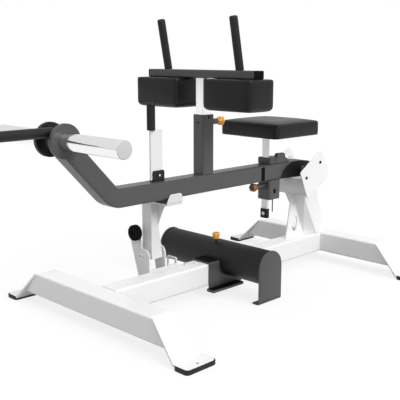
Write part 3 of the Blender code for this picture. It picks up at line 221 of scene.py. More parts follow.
# one look for each slot of the record, and three more for smaller pieces
materialSpecs = [
    {
        "name": "frameWhite",
        "look": "frame_white",
        "dark": (0.87, 0.875, 0.88),
        "light": (0.90, 0.90, 0.895),
        "roughness": (0.30, 0.38),
        "grain": 900.0,
        "depth": 0.00004,
        "edge": 0.002,
        "coat": 0.15,
    },
    {
        "name": "leverCharcoal",
        "look": "lever_charcoal",
        "dark": (0.062, 0.0635, 0.064),
        "light": (0.071, 0.0725, 0.073),
        "roughness": (0.29, 0.37),
        "grain": 1400.0,
        "depth": 0.00004,
        "edge": 0.0015,
    },
    {
        "name": "partGrey",
        "look": "part_grey",
        "dark": (0.057, 0.0575, 0.058),
        "light": (0.066, 0.0665, 0.067),
        "roughness": (0.38, 0.50),
        "grain": 1400.0,
        "depth": 0.00004,
        "edge": 0.0012,
    },
    {
        "name": "latchSilver",
        "look": "latch_silver",
        "dark": (0.70, 0.705, 0.71),
        "light": (0.76, 0.76, 0.76),
        "roughness": (0.34, 0.44),
        "grain": 1600.0,
        "depth": 0.00003,
        "edge": 0.0015,
    },
    {
        "name": "handleSilver",
        "look": "handle_silver",
        "dark": (0.78, 0.785, 0.79),
        "light": (0.86, 0.86, 0.86),
        "roughness": (0.22, 0.30),
        "grain": 1600.0,
        "depth": 0.00002,
        "edge": 0.001,
    },
    {
        "name": "hornChrome",
        "look": "horn_chrome",
        "dark": (0.90, 0.90, 0.905),
        "light": (0.94, 0.94, 0.94),
        "roughness": (0.10, 0.16),
        "grain": 2400.0,
        "depth": 0.00001,
        "edge": 0.001,
        "metallic": 1.0,
    },
    {
        "name": "steelZinc",
        "look": "steel_zinc",
        "dark": (0.68, 0.68, 0.69),
        "light": (0.80, 0.80, 0.79),
        "roughness": (0.28, 0.42),
        "toneScale": 40.0,
        "grain": 2000.0,
        "depth": 0.00004,
        "edge": 0.0006,
        "metallic": 0.8,
    },
    {
        "name": "steelBlack",
        "look": "steel_black",
        "dark": (0.009, 0.009, 0.0095),
        "light": (0.013, 0.013, 0.0135),
        "roughness": (0.36, 0.44),
        "specular": 0.3,
        "grain": 1600.0,
        "depth": 0.00003,
        "edge": 0.001,
    },
    {
        "name": "rubberBlack",
        "look": "rubber_black",
        "dark": (0.006, 0.006, 0.0065),
        "light": (0.010, 0.010, 0.0105),
        "roughness": (0.46, 0.60),
        "grain": 2200.0,
        "depth": 0.00010,
        "edge": 0.0012,
        "specular": 0.35,
    },
    {
        "name": "plasticBlack",
        "look": "plastic_black",
        "dark": (0.006, 0.006, 0.0065),
        "light": (0.011, 0.011, 0.0115),
        "roughness": (0.34, 0.46),
        "grain": 1800.0,
        "depth": 0.00006,
        "edge": 0.001,
        "specular": 0.3,
    },
    {
        "name": "hornFace",
        "look": "horn_face",
        "dark": (0.56, 0.56, 0.565),
        "light": (0.62, 0.62, 0.62),
        "roughness": (0.28, 0.36),
        "grain": 1800.0,
        "depth": 0.00002,
        "edge": 0.0006,
    },
    # near-black: the own colour of plugs, caps and rubber, and painted shade where it fills
    # holes, slots and the lever's joint gap
    {
        "name": "plugAndShadeBlack",
        "look": "plug_and_shade_black",
        "dark": (0.003, 0.003, 0.003),
        "light": (0.005, 0.005, 0.005),
        "roughness": (0.60, 0.70),
        "grain": 1800.0,
        "depth": 0.00004,
        "specular": 0.06,
    },
    # the orange knob material darkened to brown: painted shade, used for the seat knob
    {
        "name": "knobOrangePaintedShade",
        "look": "knob_orange_painted_shade",
        "dark": (0.20, 0.075, 0.02),
        "light": (0.36, 0.15, 0.035),
        "roughness": (0.30, 0.42),
        "toneScale": 80.0,
        "grain": 1500.0,
        "depth": 0.00005,
        "edge": 0.0008,
    },
    {
        "name": "vinylBlack",
        "look": "vinyl_black",
        "dark": (0.005, 0.005, 0.0055),
        "light": (0.009, 0.009, 0.0095),
        "roughness": (0.30, 0.40),
        "toneScale": 14.0,
        "cells": 900.0,
        "depth": 0.00010,
        "specular": 0.26,
    },
    {
        "name": "knobOrange",
        "look": "knob_orange",
        "dark": (0.78, 0.27, 0.015),
        "light": (0.88, 0.40, 0.03),
        "roughness": (0.22, 0.32),
        "toneScale": 60.0,
        "grain": 1500.0,
        "depth": 0.00005,
        "edge": 0.0008,
    },
]
materials = {spec["look"]: makeMaterial(spec) for spec in materialSpecs}

for part in frame["record"]["subparts"]:
    made = nodes[part["node"]]
    made.data.materials.clear()
    made.data.materials.append(materials[part["material_slot"]])
nodes["thigh_inner_tube"].data.materials[0] = materials["horn_chrome"]
# the lever's joint strip in near-black: painted shade of the gap it sits in
for name in ("crossbar_cap_left", "crossbar_cap_right", "lever_joint_strip"):
    nodes[name].data.materials[0] = materials["plug_and_shade_black"]
print("materials on", len(nodes), "solids")


# mesh helpers


def linked(name, data):
    made = bpy.data.objects.new(name, data)
    bpy.context.scene.collection.objects.link(made)
    return made


def meshOf(name, edit):
    mesh = bpy.data.meshes.new(name)
    edit.to_mesh(mesh)
    edit.free()
    return mesh


def evaluatedMesh(made):
    bpy.context.view_layer.update()
    graph = bpy.context.evaluated_depsgraph_get()
    return bpy.data.meshes.new_from_object(made.evaluated_get(graph))


def finishPiece(name, edit, spec):
    settlePiece(name, meshOf(name, edit), spec)


def settlePiece(name, mesh, spec):
    made = linked(name, mesh)
    mesh.materials.clear()
    mesh.materials.append(materials[spec.get("look", spec["slot"])])
    mesh.shade_smooth()
    mesh.set_sharp_from_angle(angle=math.radians(spec.get("sharp", 40)))
    if spec.get("replaces"):
        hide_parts(*spec["replaces"])
    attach(made, spec["body"])
    return made


def facing(origin, direction):
    turn = Vector((0, 0, 1)).rotation_difference(Vector(direction).normalized())
    return Matrix.Translation(origin) @ turn.to_matrix().to_4x4()


cornerShare = 0.45
weldDistance = 1e-6


def roundedProfile(points, radius, steps=4):
    # corner points of a turned profile, each inner corner given a small arc
    soft = [points[0]]
    for before, here, after in zip(points, points[1:], points[2:]):
        here = Vector(here)
        back, ahead = Vector(before) - here, Vector(after) - here
        reach = min(radius, back.length * cornerShare, ahead.length * cornerShare)
        start, end = here + back.normalized() * reach, here + ahead.normalized() * reach
        for step in range(steps + 1):
            t = step / steps
            soft.append(tuple(start * (1 - t) ** 2 + here * 2 * t * (1 - t) + end * t * t))
    soft.append(points[-1])
    return soft


def turnedMesh(profile, origin, direction, steps=96, closed=False):
    edit = bmesh.new()
    verts = [edit.verts.new((r, 0, s)) for r, s in profile]
    pairs = list(zip(verts, verts[1:])) + ([(verts[-1], verts[0])] if closed else [])
    edges = [edit.edges.new(pair) for pair in pairs]
    bmesh.ops.spin(
        edit,
        geom=verts + edges,
        cent=(0, 0, 0),
        axis=(0, 0, 1),
        angle=2 * math.pi,
        steps=steps,
        use_merge=True,
    )
    bmesh.ops.remove_doubles(edit, verts=edit.verts, dist=weldDistance)
    bmesh.ops.recalc_face_normals(edit, faces=edit.faces)
    bmesh.ops.transform(edit, matrix=facing(origin, direction), verts=edit.verts)
    return edit


def turnedPiece(spec):
    profile = roundedProfile(spec["profile"], spec.get("soft", 0.0012))
    edit = turnedMesh(profile, spec["origin"], spec["direction"], spec.get("steps", 96))
    finishPiece(spec["name"], edit, spec)


def prism(points, axis, start, end):
    # outline in the two other axes, drawn out along this one
    edit = bmesh.new()
    ring = []
    for u, v in points:
        place = [u, v]
        place.insert(axis, start)
        ring.append(edit.verts.new(place))
    face = edit.faces.new(ring)
    grown = bmesh.ops.extrude_face_region(edit, geom=[face])["geom"]
    move = Vector((0, 0, 0))
    move[axis] = end - start
    bmesh.ops.translate(
        edit, vec=move, verts=[g for g in grown if isinstance(g, bmesh.types.BMVert)]
    )
    bmesh.ops.recalc_face_normals(edit, faces=edit.faces)
    return edit


def outlineMesh(points, axis, start, end, soft, steps=3):
    # prism with softened rims
    edit = prism(points, axis, start, end)
    rims = [e for e in edit.edges if abs((e.verts[0].co - e.verts[1].co)[axis]) < 1e-7]
    bmesh.ops.bevel(
        edit, geom=rims, offset=soft, segments=steps, profile=0.5, affect="EDGES"
    )
    return edit


def arc(centre, radius, start, end, steps):
    turns = [math.radians(start + (end - start) * k / steps) for k in range(steps + 1)]
    return [(centre[0] + radius * math.cos(t), centre[1] + radius * math.sin(t)) for t in turns]


def boxOf(node):
    low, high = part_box(node)
    return low, high, (low + high) / 2


# round steel and plastic pieces


hornWall = 0.0035
faceThick = 0.0018
faceSink = 0.0004
bumperSeat = 0.0048


def hornSpec(hand, side):
    low, high, middle = boxOf(f"plate_horn_{hand}")
    length, radius = high.y - low.y, (high.x - low.x) / 2
    return {
        "name": f"plateHorn{hand.title()}",
        "slot": "horn_chrome",
        "body": "lever",
        "replaces": [f"plate_horn_{hand}"],
        "origin": (middle.x, low.y if side > 0 else high.y, middle.z),
        "direction": (0, side, 0),
        "profile": [
            (radius - hornWall, 0),
            (radius, 0),
            (radius, length - faceThick),
            (0, length - faceThick),
        ],
        "soft": 0.0004,
    }


def hornFaceSpec(hand, side):
    low, high, middle = boxOf(f"plate_horn_{hand}")
    radius = (high.x - low.x) / 2
    return {
        "name": f"plateHornFace{hand.title()}",
        "slot": "horn_chrome",
        "look": "horn_face",
        "body": "lever",
        "origin": (middle.x, high.y if side > 0 else low.y, middle.z),
        "direction": (0, side, 0),
        "profile": [
            (0, -faceThick - faceSink),
            (radius, -faceThick - faceSink),
            (radius, -0.0012),
            (radius - 0.0014, 0),
            (0, 0),
        ],
        "soft": 0.0005,
    }


def bumperSpec():
    low, high, middle = boxOf("latch_bumper")
    radius, seat = (high.z - low.z) / 2, high.x - bumperSeat
    length = seat - low.x
    return {
        "name": "latchRubberBumper",
        "slot": "rubber_black",
        "look": "plug_and_shade_black",
        "body": "base",
        "replaces": ["latch_bumper"],
        "origin": (seat, middle.y, middle.z),
        "direction": (-1, 0, 0),
        "profile": [
            (0, 0),
            (radius - 0.002, 0),
            (radius, 0.003),
            (radius, length - 0.0035),
            (radius - 0.003, length),
            (0.010, length),
            (0.008, length - 0.0035),
            (0, length - 0.0035),
        ],
        "soft": 0.002,
    }


headLow, headHigh, headMiddle = boxOf("loading_head")
discRadius = (headHigh.x - headLow.x) / 2
turnedSpecs = [
    hornSpec("left", -1),
    hornSpec("right", 1),
    hornFaceSpec("left", -1),
    hornFaceSpec("right", 1),
    bumperSpec(),
]
for spec in turnedSpecs:
    turnedPiece(spec)


headHub = 0.031
headBore = 0.0253
headSplit = 0.006
headHalf, discFace = (headHigh.y - headLow.y) / 2, 0.0303


def makeHead(spec):
    # stop disc and its share of the hub, bored for the horn
    profile = roundedProfile(spec["walls"], spec["soft"])
    edit = turnedMesh(profile, headMiddle, (0, 1, 0), spec["steps"], closed=True)
    finishPiece(spec["name"], edit, spec)


headSpecs = [
    {
        "name": "loadingHeadNear",
        "slot": "part_grey",
        "body": "lever",
        "replaces": ["loading_head"],
        "walls": [
            (headBore, -headHalf),
            (discRadius, -headHalf),
            (discRadius, -discFace),
            (headHub, -discFace),
            (headHub, headSplit),
            (headBore, headSplit),
        ],
        "soft": 0.0018,
        "steps": 96,
    },
    # far half in plastic black, unlike the grey near half of the same part: painted shade on the
    # far stop disc
    {
        "name": "loadingHeadFar",
        "slot": "plastic_black",
        "body": "lever",
        "walls": [
            (headBore, headSplit),
            (headHub, headSplit),
            (headHub, discFace),
            (discRadius, discFace),
            (discRadius, headHalf),
            (headBore, headHalf),
        ],
        "soft": 0.0018,
        "steps": 96,
    },
]
for spec in headSpecs:
    makeHead(spec)


dishShare = 0.62
dishDepth = 0.0025
fluteDepth = 0.0020
fluteCount = 6
fluteStart = 0.2
fluteRun = 0.6
pinRadius = 0.0046
collarShare = 0.5
capShare = 0.93


def makeKnob(spec):
    # fluted pull knob with a dished end, on its pin
    low, high, middle = boxOf(spec["node"])
    axis = Vector(spec["direction"])
    along = max(range(3), key=lambda k: abs(axis[k]))
    across = (along + 1) % 3
    radius = (high[across] - low[across]) / 2
    length = spec["length"]
    tip = middle.copy()
    tip[along] = high[along] if axis[along] > 0 else low[along]
    base = tip - axis * length
    dish = radius * dishShare
    profile = [
        (0, 0),
        (radius * 0.60, 0),
        (radius * 0.66, length * 0.10),
        (radius * 0.80, length * 0.30),
        (radius, length * 0.52),
        (radius, length * 0.86),
        (radius * 0.86, length),
        (dish, length),
        (dish * 0.9, length - dishDepth),
        (0, length - dishDepth),
    ]
    edit = turnedMesh(roundedProfile(profile, 0.0030, 6), (0, 0, 0), (0, 0, 1), 120)
    for vert in edit.verts:
        spread = math.hypot(vert.co.x, vert.co.y)
        rise = vert.co.z / length
        if spread > dish and rise > fluteStart:
            depth = fluteDepth * math.sin(math.pi * min((rise - fluteStart) / fluteRun, 0.5))
            wave = 0.5 + 0.5 * math.cos(fluteCount * math.atan2(vert.co.y, vert.co.x))
            scale = 1 - depth * wave / spread
            vert.co.x *= scale
            vert.co.y *= scale
    bmesh.ops.transform(edit, matrix=facing(base, axis), verts=edit.verts)
    finishPiece(
        spec["name"],
        edit,
        {
            "slot": "knob_orange",
            "look": spec.get("look", "knob_orange"),
            "body": spec["body"],
            "replaces": [spec["node"]],
        },
    )
    collar = radius * collarShare
    pin = [(0, -spec["barrel"]), (pinRadius, -spec["barrel"]), (pinRadius, -0.002)]
    pin += [(collar, -0.002), (collar, 0.002), (0, 0.002)]
    stem = turnedMesh(roundedProfile(pin, 0.0006), base, axis, 48)
    stemSlot = spec.get("stemSlot", "steel_zinc")
    finishPiece(spec["name"] + "Stem", stem, {"slot": stemSlot, "body": spec["body"]})
    rim = dish * capShare
    cap = [(0, -0.004), (rim, -0.004), (rim, -0.0018), (0, -0.0008)]
    insert = turnedMesh(roundedProfile(cap, 0.0008), tip, axis, 48)
    finishPiece(spec["name"] + "Cap", insert, {"slot": "part_grey", "body": spec["body"]})


knobSpecs = [
    {
        "name": "thighPullKnob",
        "node": "thigh_pull_pin",
        "body": "thigh_pin",
        "direction": (1, 0, 0),
        "length": 0.028,
        "barrel": 0.030,
    },
    {
        "name": "seatPullKnob",
        "node": "seat_pull_pin",
        # seat knob in the darkened orange: painted shade
        "look": "knob_orange_painted_shade",
        "body": "seat_pin",
        "direction": (-1, 0, 0),
        "length": 0.028,
        "barrel": 0.030,
    },
    {
        "name": "restPullKnob",
        "node": "foot_rest_pull_pin",
        "body": "rest_pin",
        "direction": (0, 0, 1),
        "length": 0.0235,
        "barrel": 0.015,
        "stemSlot": "plastic_black",
    },
]
for spec in knobSpecs:
    makeKnob(spec)
print("turned pieces done")


# thigh grips and the handle grip: ribbed rubber sleeves


ribStep = 0.0016
ribPitch = 0.0064
ribDepth = 0.00016
endShare = 0.62
endReach = 0.5


def makeSleeve(spec):
    start, end = Vector(spec["start"]), Vector(spec["end"])
    length, radius = (end - start).length, spec["radius"]
    steps = int(length / ribStep)
    profile = [(0, 0), (radius * 0.98, 0)]
    for k in range(1, steps):
        s = length * k / steps
        wave = ribDepth * (1 - math.cos(2 * math.pi * s / ribPitch)) / 2
        r = radius - wave
        if length - s < radius * endReach:
            t = 1 - (length - s) / (radius * endReach)
            r = radius * math.sqrt(max(1 - (endShare * t) ** 2, 0.01)) - wave
        profile.append((r, s))
    profile += [(radius * endShare, length), (0, length)]
    edit = turnedMesh(profile, start, end - start, 64)
    finishPiece(spec["name"], edit, spec)


gripRadius = 0.0135
sleeveSpecs = [
    {
        "name": f"thighGripSleeve{hand.title()}",
        "slot": "rubber_black",
        "body": "thigh_carriage",
        "replaces": [f"thigh_grip_{hand}"],
        "start": at(0.485, side * 0.1650, 0.7695),
        "end": at(0.452, side * 0.1650, 0.9345),
        "radius": gripRadius,
        "sharp": 60,
    }
    for hand, side in (("left", -1), ("right", 1))
]
sleeveSpecs.append(
    {
        "name": "handleGripSleeve",
        "slot": "plastic_black",
        "body": "lever",
        "replaces": ["handle_grip"],
        "start": at(0.258, 0, 0.5865),
        "end": at(0.258, 0, 0.672),
        "radius": gripRadius,
        "sharp": 60,
    }
)
for spec in sleeveSpecs:
    makeSleeve(spec)
print("sleeves done")


# foot rest: rubber cover and rounded end plates


coverSpec = {
    "name": "footRestSleeve",
    "slot": "rubber_black",
    "body": "foot_rest",
    "replaces": ["foot_rest_cover"],
    "sharp": 30,
    "wall": 0.004,
    "wrap": 75,
    "notchWidth": 0.0876,
    "notchLength": 0.3,
    "notchDrop": 0.1,
    "notchGap": 0.0003,
}


def makeCover(spec):
    # sleeve open underneath, notched where the carriage passes
    low, high, middle = boxOf("foot_rest_cover")
    radius, wrap = (high.x - low.x) / 2, spec["wrap"]
    upper = (middle.x, high.z - radius)
    lower = (middle.x, low.z + radius * math.sin(math.radians(wrap)))
    path = []
    for r, flip in ((radius, 1), (radius - spec["wall"], -1)):
        side = arc(lower, r, -wrap, 0, 20) + arc(upper, r, 0, 180, 56)
        side += arc(lower, r, 180, 180 + wrap, 20)
        path += side[::flip]
    raw = linked("coverRaw", meshOf("coverRaw", prism(path, 1, low.y, high.y)))
    notch = bmesh.new()
    notchTop = boxOf("foot_rest_carriage")[1].z + spec["notchGap"]
    drop = spec["notchDrop"]
    bmesh.ops.create_cube(
        notch,
        size=1,
        matrix=Matrix.Translation((middle.x, 0, (notchTop - drop) / 2))
        @ Matrix.Diagonal((spec["notchLength"], spec["notchWidth"], notchTop + drop, 1)),
    )
    cutter = linked("coverNotch", meshOf("coverNotch", notch))
    change = raw.modifiers.new("notch", "BOOLEAN")
    change.operation = "DIFFERENCE"
    change.object = cutter
    final = evaluatedMesh(raw)
    bpy.data.objects.remove(raw)
    bpy.data.objects.remove(cutter)
    settlePiece(spec["name"], final, spec)


nearEndSpec = {
    "name": "footRestEndNear",
    "slot": "part_grey",
    "body": "foot_rest",
    "replaces": ["foot_rest_end_left"],
    "sharp": 50,
    "wall": 0.005,
    "bend": 0.008,
    "soft": 0.0010,
}
flangeSpec = {
    "name": "footRestFlange",
    "slot": "part_grey",
    "body": "foot_rest",
    "sharp": 50,
    "lap": 0.002,
    "soft": 0.0008,
}
farEndSpec = {
    "name": "footRestEndFar",
    "slot": "part_grey",
    "body": "foot_rest",
    "replaces": ["foot_rest_end_right"],
    "sharp": 50,
    "soft": 0.0010,
}


def makeNearEnd(spec, flange):
    # rounded plate whose lower edge is bent inward into a flange
    low, high, middle = boxOf("foot_rest_end_left")
    halfX, wall, bend = (high.x - low.x) / 2, spec["wall"], spec["bend"]
    outline = arc((middle.x, high.z - halfX), halfX, 0, 180, 40)
    outline += [(low.x, low.z + bend), (high.x, low.z + bend)]
    edit = outlineMesh(outline, 1, low.y, low.y + wall, spec["soft"])
    finishPiece(spec["name"], edit, spec)
    centre = (low.y + bend, low.z + bend)
    heel = arc(centre, bend, 180, 270, 10)
    heel += [(high.y, low.z), (high.y, low.z + wall)]
    heel += arc(centre, bend - wall, 270, 180, 10)
    heelTop = low.z + bend + flange["lap"]
    heel += [(low.y + wall, heelTop), (low.y, heelTop)]
    fold = outlineMesh(heel, 0, low.x, high.x, flange["soft"], 2)
    finishPiece(flange["name"], fold, flange)


def makeFarEnd(spec):
    # round plate, without a leg
    low, high, middle = boxOf("foot_rest_end_right")
    halfX = (high.x - low.x) / 2
    outline = arc((middle.x, high.z - halfX), halfX, 0, 180, 40)
    outline += arc((middle.x, low.z + halfX), halfX, 180, 360, 40)
    edit = outlineMesh(outline, 1, low.y, high.y, spec["soft"])
    finishPiece(spec["name"], edit, spec)


makeCover(coverSpec)
makeNearEnd(nearEndSpec, flangeSpec)
makeFarEnd(farEndSpec)
print("foot rest done")


# small plates, screw heads, and near-black discs and sheets painted as the shade in holes and
# slots


def roundedRect(u0, u1, v0, v1, radius, steps=4):
    ring = []
    for u, v, start in (
        (u1 - radius, v1 - radius, 0),
        (u0 + radius, v1 - radius, 90),
        (u0 + radius, v0 + radius, 180),
        (u1 - radius, v0 + radius, 270),
    ):
        ring += arc((u, v), radius, start, start + 90, steps)
    return ring


carriageLow, carriageHigh, _ = boxOf("foot_rest_carriage")
restLow = boxOf("foot_rest_cover")[0]
housingLow = boxOf("seat_housing")[0]
runnerTop, runnerInner, runnerEdge = 0.030, 0.0445, 0.0035
runnerRear = at(0.6165, 0, 0).x
holeShadeRect = (at(0.8270, 0, 0).x, at(0.8410, 0, 0).x, 0.3130, 0.3285)
plateSpecs = [
    {
        "name": "carriageTopSheet",
        "slot": "rubber_black",
        "look": "plug_and_shade_black",
        "body": "foot_rest",
        "axis": 2,
        "rect": (carriageLow.x + 0.0140, restLow.x - 0.002, -0.0390, 0.0390),
        "span": (carriageHigh.z - 0.0002, carriageHigh.z + 0.0012),
    },
    # near-black square on the housing's near face: painted shade of a square hole
    {
        "name": "housingHoleShade",
        "slot": "plastic_black",
        "look": "plug_and_shade_black",
        "body": "lever",
        "axis": 1,
        "rect": holeShadeRect,
        "span": (housingLow.y + 0.0006, housingLow.y + 0.0038),
    },
]
postLow = boxOf("thigh_post")[0]
slotX, slotZ, pinZ = at(0.4895, 0, 0).x, 0.6135, 0.5965
# near-black sheets on the thigh post's faces: painted shade of its slots
for name, axis, rect, face in (
    ("postSlotFront", 0, (-0.0055, 0.0055, pinZ - 0.0022, pinZ + 0.0022), postLow.x),
    ("postSlotSide", 1, (slotX - 0.003, slotX + 0.003, slotZ - 0.005, slotZ + 0.005), postLow.y),
):
    plateSpecs.append(
        {
            "name": name,
            "slot": "plastic_black",
            "look": "plug_and_shade_black",
            "body": "lever",
            "axis": axis,
            "rect": rect,
            "radius": 0.0018,
            "span": (face - 0.0004, face + 0.0006),
        }
    )
for hand, side in (("Near", -1), ("Far", 1)):
    reach = sorted((side * runnerInner, side * (carriageHigh.y - runnerEdge)))
    plateSpecs.append(
        {
            "name": "runnerSheet" + hand,
            "slot": "rubber_black",
            "look": "plug_and_shade_black",
            "body": "foot_rest",
            "axis": 2,
            "rect": (carriageLow.x + 0.004, runnerRear, *reach),
            "span": (runnerTop - 0.0002, runnerTop + 0.0016),
        }
    )
for spec in plateSpecs:
    outline = roundedRect(*spec["rect"], spec.get("radius", 0.0025))
    edit = outlineMesh(outline, spec["axis"], *spec["span"], 0.0003, 2)
    finishPiece(spec["name"], edit, spec)

bracketLow = boxOf("handle_bracket")[0]
bracketBolt = at(0.282, bracketLow.y + 0.0040, 0.4425)
postEndLow = boxOf("seat_post_end")[0]
postEndBolt = 0.017
latchBoltLow, _, latchBoltMiddle = boxOf("latch_bolt")
footHoleInset, footHoleRadius = 0.017, 0.0044
screwAndHoleShadeSpecs = [
    {
        "name": "handleBoltHead",
        "slot": "steel_zinc",
        "body": "lever",
        "origin": bracketBolt,
        "direction": (0, -1, 0),
        "profile": [(0, 0), (0.0040, 0), (0.0040, 0.0044), (0.0020, 0.0050), (0, 0.0050)],
    },
    {
        "name": "seatPostBolt",
        "slot": "steel_zinc",
        "body": "seat",
        "origin": (postEndLow.x + 0.0005, 0, postEndLow.z + postEndBolt),
        "direction": (-1, 0, 0),
        "profile": [(0, 0), (0.0068, 0), (0.0068, 0.0030), (0.0055, 0.0042), (0, 0.0042)],
    },
    {
        "name": "latchBoltSocket",
        "slot": "plastic_black",
        "body": "base",
        "origin": (latchBoltLow.x + 0.0004, latchBoltMiddle.y, latchBoltMiddle.z),
        "direction": (-1, 0, 0),
        "profile": [(0, 0), (0.0032, 0), (0.0032, 0.0006), (0, 0.0006)],
    },
]
# near-black discs filling the foot plate holes: painted shade inside the holes
for where in ("front", "rear"):
    for hand, side in (("left", -1), ("right", 1)):
        plateLow, plateHigh, plateMiddle = boxOf(f"{where}_foot_plate_{hand}")
        tip = plateHigh.y if side > 0 else plateLow.y
        screwAndHoleShadeSpecs.append(
            {
                "name": f"footPlug{where.title()}{hand.title()}",
                "slot": "plastic_black",
                "look": "plug_and_shade_black",
                "body": "base",
                "origin": (plateMiddle.x, tip - side * footHoleInset, 0.006),
                "direction": (0, 0, 1),
                "profile": [(0, 0), (footHoleRadius, 0), (footHoleRadius, 0.0075), (0, 0.0075)],
            }
        )
for spec in screwAndHoleShadeSpecs:
    turnedPiece({**spec, "soft": 0.0005, "steps": 48})
print("small pieces done")


# cushions


leastCorner = 0.003
rimTurns = range(0, 91, 15)
seamStep = 0.006
seamRise = 0.0002
clothFrames = 20


def planRing(low, high, corner, inset):
    # rounded rectangle, drawn in by an inset
    low, high = low + Vector((inset, inset, 0)), high - Vector((inset, inset, 0))
    return roundedRect(low.x, high.x, low.y, high.y, max(corner - inset, leastCorner), 10)


def softBlock(spec):
    # boxed cushion before it is filled: rounded plan, its own rim above and below
    low, high = Vector(spec["low"]), Vector(spec["high"])
    shrink = spec["shrink"]
    low += Vector((shrink, shrink, 0 if spec["flatLow"] else shrink))
    high -= Vector((shrink, shrink, shrink if spec["flatLow"] else 0))
    lowRim, highRim = spec["rims"]
    turns = [math.radians(turn) for turn in rimTurns]
    levels = [
        (low.z + lowRim * (1 - math.sin(t)), lowRim * (1 - math.cos(t))) for t in turns[::-1]
    ]
    levels += [
        (high.z - highRim * (1 - math.sin(t)), highRim * (1 - math.cos(t))) for t in turns
    ]
    edit = bmesh.new()
    rings = []
    for level, inset in levels:
        ring = planRing(low, high, spec["corner"], inset)
        rings.append([edit.verts.new((x, y, level)) for x, y in ring])
    for below, above in zip(rings, rings[1:]):
        for k in range(len(below)):
            n = (k + 1) % len(below)
            edit.faces.new((below[k], below[n], above[n], above[k]))
    edit.faces.new(rings[0][::-1])
    edit.faces.new(rings[-1])
    bmesh.ops.recalc_face_normals(edit, faces=edit.faces)
    return edit


def fillCushion(raw, spec):
    # cloth under pressure, its movement capped, then applied
    change = raw.modifiers.new("even", "REMESH")
    change.mode = "VOXEL"
    change.voxel_size = spec["voxel"]
    mesh = evaluatedMesh(raw)
    raw.modifiers.clear()
    raw.data = mesh
    rest = [vert.co.copy() for vert in mesh.vertices]
    low = min(co.z for co in rest)
    high = max(co.z for co in rest)
    flat = low if spec["flatLow"] else high
    held = raw.vertex_groups.new(name="held")
    for vert in mesh.vertices:
        if abs(vert.co.z - flat) < spec["voxel"] * 0.9:
            held.add([vert.index], 1.0, "REPLACE")
    cloth = raw.modifiers.new("fill", "CLOTH")
    settings = cloth.settings
    settings.quality = 6
    settings.mass = 0.3
    settings.tension_stiffness = 60
    settings.compression_stiffness = 60
    settings.bending_stiffness = 40
    settings.use_pressure = True
    settings.uniform_pressure_force = spec["pressure"]
    settings.vertex_group_mass = "held"
    settings.effector_weights.gravity = 0
    cloth.point_cache.frame_start = 1
    cloth.point_cache.frame_end = clothFrames
    scene = bpy.context.scene
    for frameNumber in range(1, clothFrames + 1):
        scene.frame_set(frameNumber)
    filled = evaluatedMesh(raw)
    raw.modifiers.clear()
    scene.frame_set(1)
    moves = []
    for vert, before in zip(filled.vertices, rest):
        move = vert.co - before
        if move.length > spec["cap"]:
            move *= spec["cap"] / move.length
        vert.co = before + move
        moves.append(move.length)
    raw.data = filled
    print(spec["name"], "filled, largest move", round(max(moves), 4))


def addWelt(made, spec):
    # sewn seam that follows the cushion's rim
    tree = BVHTree.FromPolygons(
        [vert.co for vert in made.data.vertices], [list(p.vertices) for p in made.data.polygons]
    )
    low, high = Vector(spec["low"]), Vector(spec["high"])
    level = high.z - spec["seamDrop"] if spec["flatLow"] else low.z + spec["seamDrop"]
    outline = planRing(low, high, spec["corner"], 0)
    rich = []
    for a, b in zip(outline, outline[1:] + outline[:1]):
        count = max(int(math.hypot(b[0] - a[0], b[1] - a[1]) / seamStep), 1)
        rich += [
            (a[0] + (b[0] - a[0]) * k / count, a[1] + (b[1] - a[1]) * k / count)
            for k in range(count)
        ]
    points = []
    for x, y in rich:
        hit, normal, _, _ = tree.find_nearest(Vector((x, y, level)))
        points.append(hit + normal * seamRise)
    curve = bpy.data.curves.new(spec["name"] + "Welt", "CURVE")
    curve.dimensions = "3D"
    curve.bevel_depth = 0.0008
    curve.bevel_resolution = 2
    spline = curve.splines.new("POLY")
    spline.points.add(len(points) - 1)
    for point, co in zip(spline.points, points):
        point.co = (*co, 1)
    spline.use_cyclic_u = True
    guide = linked(spec["name"] + "WeltLine", curve)
    mesh = evaluatedMesh(guide)
    bpy.data.objects.remove(guide)
    seam = {"slot": "vinyl_black", "body": spec["body"], "sharp": 80}
    settlePiece(spec["name"] + "Welt", mesh, seam)


def makeCushion(spec):
    raw = linked(spec["name"] + "Raw", meshOf(spec["name"], softBlock(spec)))
    fillCushion(raw, spec)
    smooth = raw.modifiers.new("ease", "SMOOTH")
    smooth.factor = 0.5
    smooth.iterations = spec["ease"]
    fine = raw.modifiers.new("fine", "SUBSURF")
    fine.levels = fine.render_levels = 1
    mesh = evaluatedMesh(raw)
    bpy.data.objects.remove(raw)
    made = settlePiece(spec["name"], mesh, {**spec, "slot": "vinyl_black", "sharp": 80})
    addWelt(made, spec)


filling = {"voxel": 0.005, "pressure": 4.0, "cap": 0.006}


def padSpec(hand):
    low, high, _ = boxOf(f"thigh_pad_{hand}")
    return {
        "name": f"thighPad{hand.title()}",
        "body": "thigh_carriage",
        "replaces": [f"thigh_pad_{hand}"],
        "low": low,
        "high": high,
        "shrink": 0.0015,
        "flatLow": False,
        "corner": 0.010,
        "rims": (0.016, 0.002),
        "ease": 6,
        "seamDrop": 0.016,
        **filling,
    }


seatLow, seatHigh, _ = boxOf("seat_pad")
cushionSpecs = [
    padSpec("left"),
    padSpec("right"),
    {
        "name": "seatCushion",
        "body": "seat",
        "replaces": ["seat_pad"],
        "low": seatLow,
        "high": seatHigh,
        "shrink": 0.003,
        "flatLow": True,
        "corner": 0.012,
        "rims": (0.002, 0.007),
        "ease": 5,
        "seamDrop": 0.007,
        **filling,
    },
]
for spec in cushionSpecs:
    makeCushion(spec)
print("cushions done")


# stage: pale floor and even background


